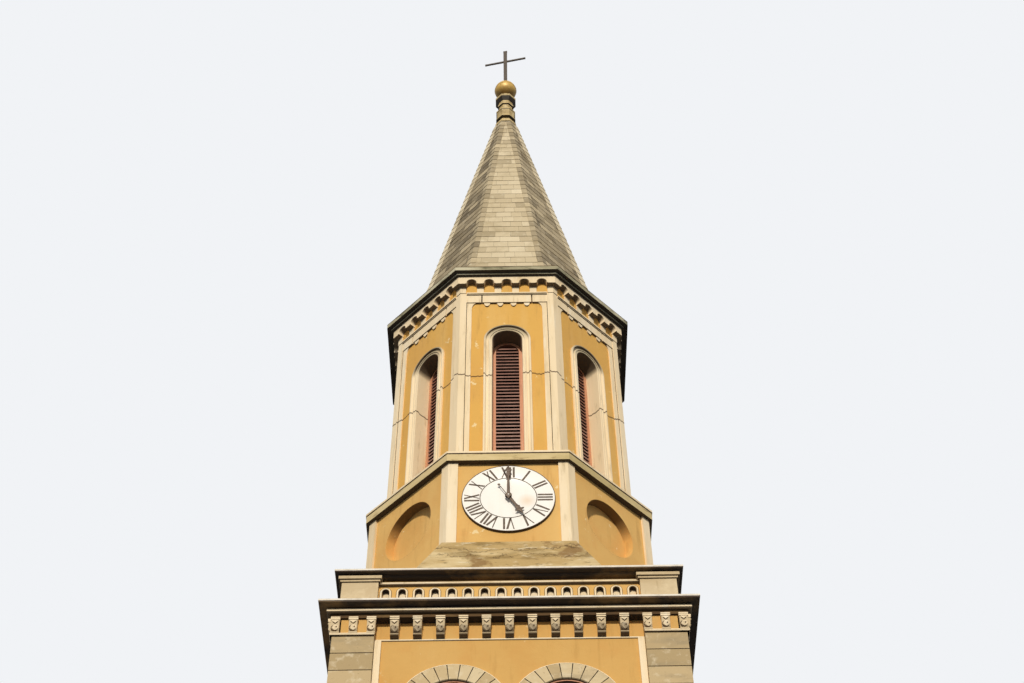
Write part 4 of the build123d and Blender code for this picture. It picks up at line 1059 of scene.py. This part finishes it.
class TOWER_OT_belfry(bpy.types.Operator):
    """Build the belfry's moulded arches, louvred shutters, bands and corbel arches"""

    bl_idname = "tower.belfry"
    bl_label = "Belfry"

    def execute(self, context):
        sizes = context.scene.tower_sizes
        section = ((-10, -274), (-10, 10), (-2, 20), (30, 20), (36, 30), (58, 30), (64, 12))
        section += ((82, 10), (100, 16), (112, 40), (118, 46), (140, 46), (148, 36), (148, -3))
        section = mm(*section, (6, -3), (6, -274), up=BELFRY)
        arch = arch_rim(section, LOUVRE_HALF, BELFRY_FOOT, LOUVRE_SPRING, 36)
        sill = ((-280, 20), (20, -10), (30, -20), (30, -50), (20, -55), (20, -180), (-10, -180))
        outline = mm(*sill, (-10, -20), (-280, -10), out=BELFRY, up=LOUVRE_SILL)
        solids = on_walls([arch, extruded(outline, -0.285, 0.285, 0)], 8)
        piece("architrave_mouldings", solids, "arch_cream",
              stands_for=["architraves"], smooth=35)
        # Shutter: a frame with an inner bead, filled with slats that slope outwards
        back, front, stile = BELFRY - 0.35, BELFRY - 0.276, 0.072
        clear, low = LOUVRE_HALF - stile, LOUVRE_SILL + stile
        rim = arched_frame(0.276, clear, LOUVRE_SILL, low, LOUVRE_SPRING, back, front)
        shape = (clear + 0.02, clear, low - 0.02, low, LOUVRE_SPRING, front - 0.002, front + 0.01)
        solids = on_walls([rim, arched_frame(*shape)], 8)
        piece("shutter_frames", solids, "salmon",
              stands_for=["louvre_frames"], smooth=30)
        count = int((LOUVRE_SPRING + clear - low) / sizes.slat_pitch)
        level = low + (np.arange(count) + 0.45) * sizes.slat_pitch
        over = np.clip(level + 0.02 - LOUVRE_SPRING, 0, clear * 0.98)
        half = np.sqrt(clear**2 - over**2) + 0.004
        end = [(back + 0.006, 0.03), (back + 0.006, 0.048), (front - 0.002, 0.004)]
        end += [(front - 0.002, -0.032)]
        slats = [
            [(x, out, z + up) for x in (-reach, reach) for out, up in end]
            for z, reach in zip(level, half)
        ]
        solids = on_walls([blocks(slats)], 8)
        piece("shutter_slats", solids, "slats", stands_for=["louvre_slats"])
        # Arches of the corbel table: five between the corners, each on its own corbels
        face, number, corner, corbel = BELFRY + 0.16, 5, 0.088, 0.128
        pitch = 2 * (face * math.tan(math.pi / 8) - corner) / number
        radius = (pitch - corbel) / 2
        spring = EAVES_FOOT - 0.08 - radius
        section = ((-9, -156), (-9, 0), (-4, 6), (12, 6), (16, 0), (16, -156))
        section = mm(*section, up=face)
        rim = arch_rim(section, radius, spring - 0.029, spring, 14)
        arches = [moved(rim, ((step - 2) * pitch, 0, 0)) for step in range(number)]
        piece("corbel_arches", on_walls(arches, 8), "cream", smooth=40)
        back, front = BELFRY - 0.003, BELFRY + 0.04
        panel = bar(-0.86, 0.86, back, front, BAND[2] - 0.002, EAVES_FOOT)
        piece("corbel_panels", on_walls([blocks([panel])], 8), "belfry")
        # Band under the corbels: three lengths under a moulded line, lobes and haunches
        foot, head = BAND[:2]
        groove, gap = BAY_HALF * 0.62, 0.012
        lengths = ((-BAY_HALF, -groove - gap), (gap - groove, groove - gap))
        lengths += ((groove + gap, BAY_HALF),)
        solids = [blocks([bar(*ends, back, front, foot, head)]) for ends in lengths]
        profile = ((-3, 0), (55, 0), (60, 12), (75, 18), (75, 50), (-3, 50))
        profile = mm(*profile, out=BELFRY, up=head)
        solids.append(extruded(profile, -BAY_HALF, BAY_HALF, 0))
        # Four hanging lobes, (half width, drop, spacing), between two curved haunches
        wide, drop, spacing = 0.056, 0.095, 0.25
        turn = np.linspace(math.pi, 2 * math.pi, 13)
        for step in range(4):
            x = (step - 1.5) * spacing + wide * np.cos(turn)
            lobe = np.stack([x, foot + drop * np.sin(turn)], -1)
            solids.append(extruded(lobe, back, BELFRY + 0.024))
        wide, drop = 0.096, 0.2
        turn = np.linspace(0, math.pi / 2, 9)
        for side in (-1, 1):
            x = side * (PANEL_HALF - wide * (1 - np.sin(turn)))
            curve = np.stack([x, foot - drop * (1 - np.cos(turn))], -1)
            haunch = np.concatenate([curve, [(side * PANEL_HALF, foot)]])
            solids.append(extruded(haunch, back, BELFRY + 0.0235))
        # Thin dark bars of painted shadow: along each step from pilaster to strip, and in the two
        # grooves of the band
        lines = []
        for side in (-1, 1):
            ends = sorted((side * BAY_HALF, side * (BAY_HALF - 0.011)))
            lines.append(bar(*ends, BELFRY, BELFRY + 0.026, BELFRY_FOOT, foot))
            ends = (side * groove - gap, side * groove + gap)
            lines.append(bar(*ends, BELFRY - 0.002, BELFRY + 0.004, foot, head))
        piece("strip_painted_shadow_lines", on_walls([blocks(lines)], 8), "bed")
        piece("band_mouldings", on_walls(solids, 8), "cream",
              stands_for=["belfry_bands"])
        # Thin lips, (name, inner edge, outer edge, foot, fall of the foot, top, coat, slot)
        for name, inner, outer, low, fall, high, coat, slot in (
            ("ledge_shadow_line", 2.4, 2.4325, 20.972, 0.0, 20.99, "capping", "sheet_metal"),
            ("ledge_lip", 2.4, 2.4415, 20.989, 0.0, 21.032, "cream", "cream_render"),
            ("eaves_drip", 2.3, 2.3705, 26.372, 0.004, 26.3805, "bed", "weathered_eaves"),
        ):
            lip = [(inner, low), (outer, low - fall), (outer, high), (inner, high)]
            piece(name, [course(lip, 8, True)], coat)
        return {"FINISHED"}


def spire_apothem(height):
    """Apothem of the spire at a height: straight from its knee to its top, and spread a
    little more below the knee."""
    share = (height - SPIRE_FOOT) / (SPIRE_TOP - SPIRE_FOOT)
    flare = SPREAD * np.clip(1 - (height - SPIRE_FOOT) / KNEE, 0, 1)
    return SPIRE_FOOT_HALF + (SPIRE_TOP_HALF - SPIRE_FOOT_HALF) * share + flare


class TOWER_OT_spire(bpy.types.Operator):
    """Lay the slates and hip tiles of the spire"""

    bl_idname = "tower.spire"
    bl_label = "Spire"

    def execute(self, context):
        sizes = context.scene.tower_sizes
        random = np.random.default_rng(21)
        tall = SPIRE_TOP - SPIRE_FOOT
        slope = math.hypot(tall, SPIRE_FOOT_HALF - SPIRE_TOP_HALF) / tall
        rise = sizes.slate_course / slope
        lows = np.arange(SPIRE_FOOT, SPIRE_TOP - 0.5 * rise, rise)
        lean = math.tan(math.pi / 8)
        solids, tones = [], []
        # Each face has its own painted shade: lightest on the front and back, darkest on the two
        # diagonals beside the front
        face_shade = (0.58, 0.24, 0.4, 0.3, 0.55, 0.3, 0.36, 0.12)
        for face in range(8):
            for index, low in enumerate(lows):
                high = min(low + rise * 1.06, SPIRE_TOP)
                low_out, high_out = spire_apothem(np.array([low, high]))
                number = max(2, round(2 * low_out * lean / sizes.slate_width))
                joint = np.linspace(-1, 1, number + 1)
                joint[1:-1] += random.uniform(-0.4, 0.4, number - 1) / number
                joint[1:-1] += (0.5 if index % 2 else -0.5) / number
                gap = 0.0015 / (low_out * lean)
                left, right = joint[:-1] + gap, joint[1:] - gap
                lift = 0.012 + random.uniform(0, 0.005, number)
                corners = []
                flat = np.ones(number)
                for low_lift, high_lift in ((0.001, 0.0005), (lift, 0.007)):
                    for share, out, up, raised in (
                        (left, low_out, low, low_lift),
                        (right, low_out, low, low_lift),
                        (right, high_out, high, high_lift),
                        (left, high_out, high, high_lift),
                    ):
                        corner = [share * out * lean, (out + raised) * flat, up * flat]
                        corners.append(np.stack(corner, -1))
                solid = blocks(np.stack(corners, 1))
                solids.append(on_wall(solid, face * math.pi / 4)[0].reshape(-1, 8, 3))
                shade = face_shade[face] + random.normal(0, 0.07)
                tones.append(shade + random.normal(0, 0.12, number))
        slates = blocks(np.concatenate(solids), np.clip(np.concatenate(tones), 0, 1))
        piece("spire_slates", [slates], "slate")
        hips = []
        # Hip tiles at the sides are painted light and those by the front and back painted shade;
        # the light ones are also wider
        hip_light_and_shade = (0.3, 0.95, 0.95, 0.3, 0.3, 0.95, 0.95, 0.3)
        for low in lows:
            high = min(low + rise * 1.05, SPIRE_TOP)
            for k, tone in enumerate(hip_light_and_shade):
                rows = []
                for level, lift in ((low, 0.024), (high, 0.014)):
                    reach = spire_apothem(level) / math.cos(math.pi / 8)
                    wing = min(0.15 if tone > 0.5 else 0.1, reach * 0.3)
                    drop = wing * lean
                    row = [(-wing, lift - drop), (0.0, lift), (wing, lift - drop)]
                    row += [(wing * 0.96, -drop - 0.01), (0.0, -0.012)]
                    row += [(-wing * 0.96, -drop - 0.01)]
                    rows.append([(along, reach + out, level) for along, out in row])
                shade = [np.clip(tone + random.normal(0, 0.1), 0, 1)]
                hips.append(on_wall(skin(rows, shade), (k + 0.5) * math.pi / 4))
        piece("spire_hip_tiles", hips, "slate")
        paint("underlay", "spire")
        return {"FINISHED"}


class TOWER_OT_finial(bpy.types.Operator):
    """Build the ringed neck and gilded ball, and finish the cross"""

    bl_idname = "tower.finial"
    bl_label = "Finial"

    def execute(self, context):
        rings = ((255, 0), (252, 80), (205, 210), (160, 240), (160, 290), (238, 300), (238, 325))
        rings += ((205, 345), (203, 420), (210, 520), (222, 620), (234, 650), (234, 690))
        rings += ((170, 710), (158, 740), (158, 960), (190, 980), (190, 1050), (165, 1070))
        rings += ((170, 1160), (245, 1270), (250, 1290), (250, 1345), (235, 1360), (120, 1500))
        neck = course(mm(*rings, (90, 1657), up=SPIRE_TOP), 8)
        piece("finial_neck_rings", [neck], "neck", stands_for=["finial_neck"])
        turn = np.linspace(-math.pi / 2 + 0.05, math.pi / 2 - 0.05, 28)
        rows = np.stack([BALL_RADIUS * np.cos(turn), BALL + BALL_RADIUS * np.sin(turn)], -1)
        seam = circle(0.006, (BALL_RADIUS - 0.0008, BALL), 6)
        around = np.linspace(0, 2 * math.pi, 48, endpoint=False)
        solids = []
        for profile, loop in ((rows, False), (seam, True)):
            radius, up = profile[:, :1], np.repeat(profile[:, 1:], 48, 1)
            ring = np.stack([radius * np.cos(around), radius * np.sin(around), up], -1)
            solids.append(skin(ring, loop=loop))
        piece("gilded_ball", solids, "gilding", stands_for=["finial_ball"], smooth=40)
        # Cross on flat bars with slightly flared ends, its right arm turned towards the front
        foot, top, arm = 37.683, 39.573, 39.003
        post, beam = [], []
        around = ((-1, 1), (1, 1), (1, -1), (-1, -1))
        for z, wide in ((foot, 0.043), (arm, 0.045), (top - 0.12, 0.046), (top, 0.052)):
            post.append([(wide * along, 0.017 * out, z) for along, out in around])
        around = ((1, 1), (-1, 1), (-1, -1), (1, -1))
        for x, high in ((-0.54, 0.033), (-0.49, 0.027), (0.0, 0.03), (0.49, 0.027), (0.54, 0.033)):
            beam.append([(x, 0.015 * out, arm + high * up) for out, up in around])
        bars = [on_wall(skin(rows), math.radians(CROSS_TURN)) for rows in (post, beam)]
        piece("iron_cross", bars, "iron", stands_for=["finial_cross"])
        return {"FINISHED"}


class TOWER_OT_stage(bpy.types.Operator):
    """Set out the pale floor, the soft light and the camera"""

    bl_idname = "tower.stage"
    bl_label = "Stage"

    def execute(self, context):
        scene = context.scene
        scene.view_settings.view_transform = "Standard"
        turn = np.linspace(0, 2 * math.pi, 96, endpoint=False)
        ring = FLOOR_RADIUS * np.stack([np.cos(turn), np.sin(turn), 0 * turn], -1)
        mesh = bpy.data.meshes.new("pale_floor")
        mesh.from_pydata(ring.tolist(), [], [list(range(96))])
        finish("floor", "pale_studio_floor", "DCDAD5", 0.9, (), ())
        mesh.materials.append(FINISHES["floor"])
        floor = bpy.data.objects.new("pale_floor", mesh)
        scene.collection.objects.link(floor)
        world = bpy.data.worlds.new("soft_studio")
        scene.world = world
        world.use_nodes = True
        tree = world.node_tree
        tree.nodes.clear()
        aim = add(tree, "ShaderNodeTexCoord").outputs["Generated"]
        up = add(tree, "ShaderNodeSeparateXYZ", {0: aim}).outputs["Z"]
        levels = {"Value": up, "From Min": -0.3, "From Max": 0.5, "To Min": 0.14, "To Max": 0.5}
        level = add(tree, "ShaderNodeMapRange", levels).outputs["Result"]
        light = add(tree, "ShaderNodeBackground", {"Color": linear("F2F5FA"), "Strength": level})
        white = add(tree, "ShaderNodeBackground", {"Color": linear("F1F3F6"), "Strength": 1.0})
        rays = add(tree, "ShaderNodeLightPath").outputs
        seen = {0: rays["Is Camera Ray"], 1: rays["Is Transmission Ray"]}
        seen = add(tree, "ShaderNodeMath", seen, operation="MAXIMUM").outputs[0]
        both = {0: seen, 1: light.outputs[0], 2: white.outputs[0]}
        mixed = add(tree, "ShaderNodeMixShader", both)
        add(tree, "ShaderNodeOutputWorld", {"Surface": mixed.outputs[0]})
        # Low sun in front of the tower, a little to the left
        sun = bpy.data.lights.new("soft_key", "SUN")
        sun.energy = 2.7
        sun.angle = math.radians(4)
        sun.color = linear("FFF6E6")[:3]
        key = bpy.data.objects.new("soft_key", sun)
        scene.collection.objects.link(key)
        lift, side = math.radians(SUN_LIFT), math.radians(SUN_SIDE)
        level = (math.sin(side) * math.cos(lift), -math.cos(side) * math.cos(lift))
        towards = Vector((*level, math.sin(lift)))
        key.rotation_mode = "QUATERNION"
        key.rotation_quaternion = towards.to_track_quat("Z", "Y")
        # The camera stands at eye height and looks up as the photo does
        pitch, roll, yaw, swing = map(math.radians, CAMERA_ANGLES)
        spot = (CAMERA_DISTANCE * math.sin(yaw), -CAMERA_DISTANCE * math.cos(yaw), EYE)
        heading = yaw - swing
        ahead = [-math.sin(heading) * math.cos(pitch), math.cos(heading) * math.cos(pitch)]
        ahead.append(math.sin(pitch))
        right = np.array([math.cos(heading), math.sin(heading), 0.0])
        above = np.cross(right, ahead)
        pose = np.eye(4)
        pose[:3, 0] = right * math.cos(roll) + above * math.sin(roll)
        pose[:3, 1] = above * math.cos(roll) - right * math.sin(roll)
        pose[:3, 2] = -np.array(ahead)
        pose[:3, 3] = spot
        lens = bpy.data.cameras.new("photo_view")
        lens.sensor_width = 36.0
        lens.lens = FOCAL_LENGTH * lens.sensor_width
        lens.clip_start, lens.clip_end = 0.5, 2000
        camera = bpy.data.objects.new("photo_view", lens)
        camera.matrix_world = Matrix(pose.tolist())
        scene.collection.objects.link(camera)
        scene.camera = camera
        return {"FINISHED"}


OPERATORS = (
    TOWER_OT_finishes,
    TOWER_OT_quoins,
    TOWER_OT_plinth,
    TOWER_OT_windows,
    TOWER_OT_doorway,
    TOWER_OT_cornice,
    TOWER_OT_attic,
    TOWER_OT_clock_stage,
    TOWER_OT_clock,
    TOWER_OT_belfry,
    TOWER_OT_spire,
    TOWER_OT_finial,
    TOWER_OT_stage,
)


class TOWER_PT_panel(bpy.types.Panel):
    """Lists the tower's sizes, colours and pieces in the sidebar"""

    bl_label = "Church tower"
    bl_space_type = "VIEW_3D"
    bl_region_type = "UI"
    bl_category = "Church tower"

    def draw(self, context):
        for group in (context.scene.tower_sizes, context.scene.tower_colours):
            for key in group.bl_rna.properties.keys():
                if key not in ("rna_type", "name"):
                    self.layout.prop(group, key)
        for operator in OPERATORS:
            self.layout.operator(operator.bl_idname)


CLASSES = (TowerSizes, TowerColours, *OPERATORS, TOWER_PT_panel)


def register():
    for cls in CLASSES:
        bpy.utils.register_class(cls)
    bpy.types.Scene.tower_sizes = PointerProperty(type=TowerSizes)
    bpy.types.Scene.tower_colours = PointerProperty(type=TowerColours)


def unregister():
    del bpy.types.Scene.tower_colours
    del bpy.types.Scene.tower_sizes
    for cls in reversed(CLASSES):
        bpy.utils.unregister_class(cls)


def main():
    register()
    for operator in OPERATORS:
        group, name = operator.bl_idname.split(".")
        if getattr(getattr(bpy.ops, group), name)() != {"FINISHED"}:
            raise RuntimeError(operator.bl_label + " did not finish")


if __name__ == "__main__":
    main()
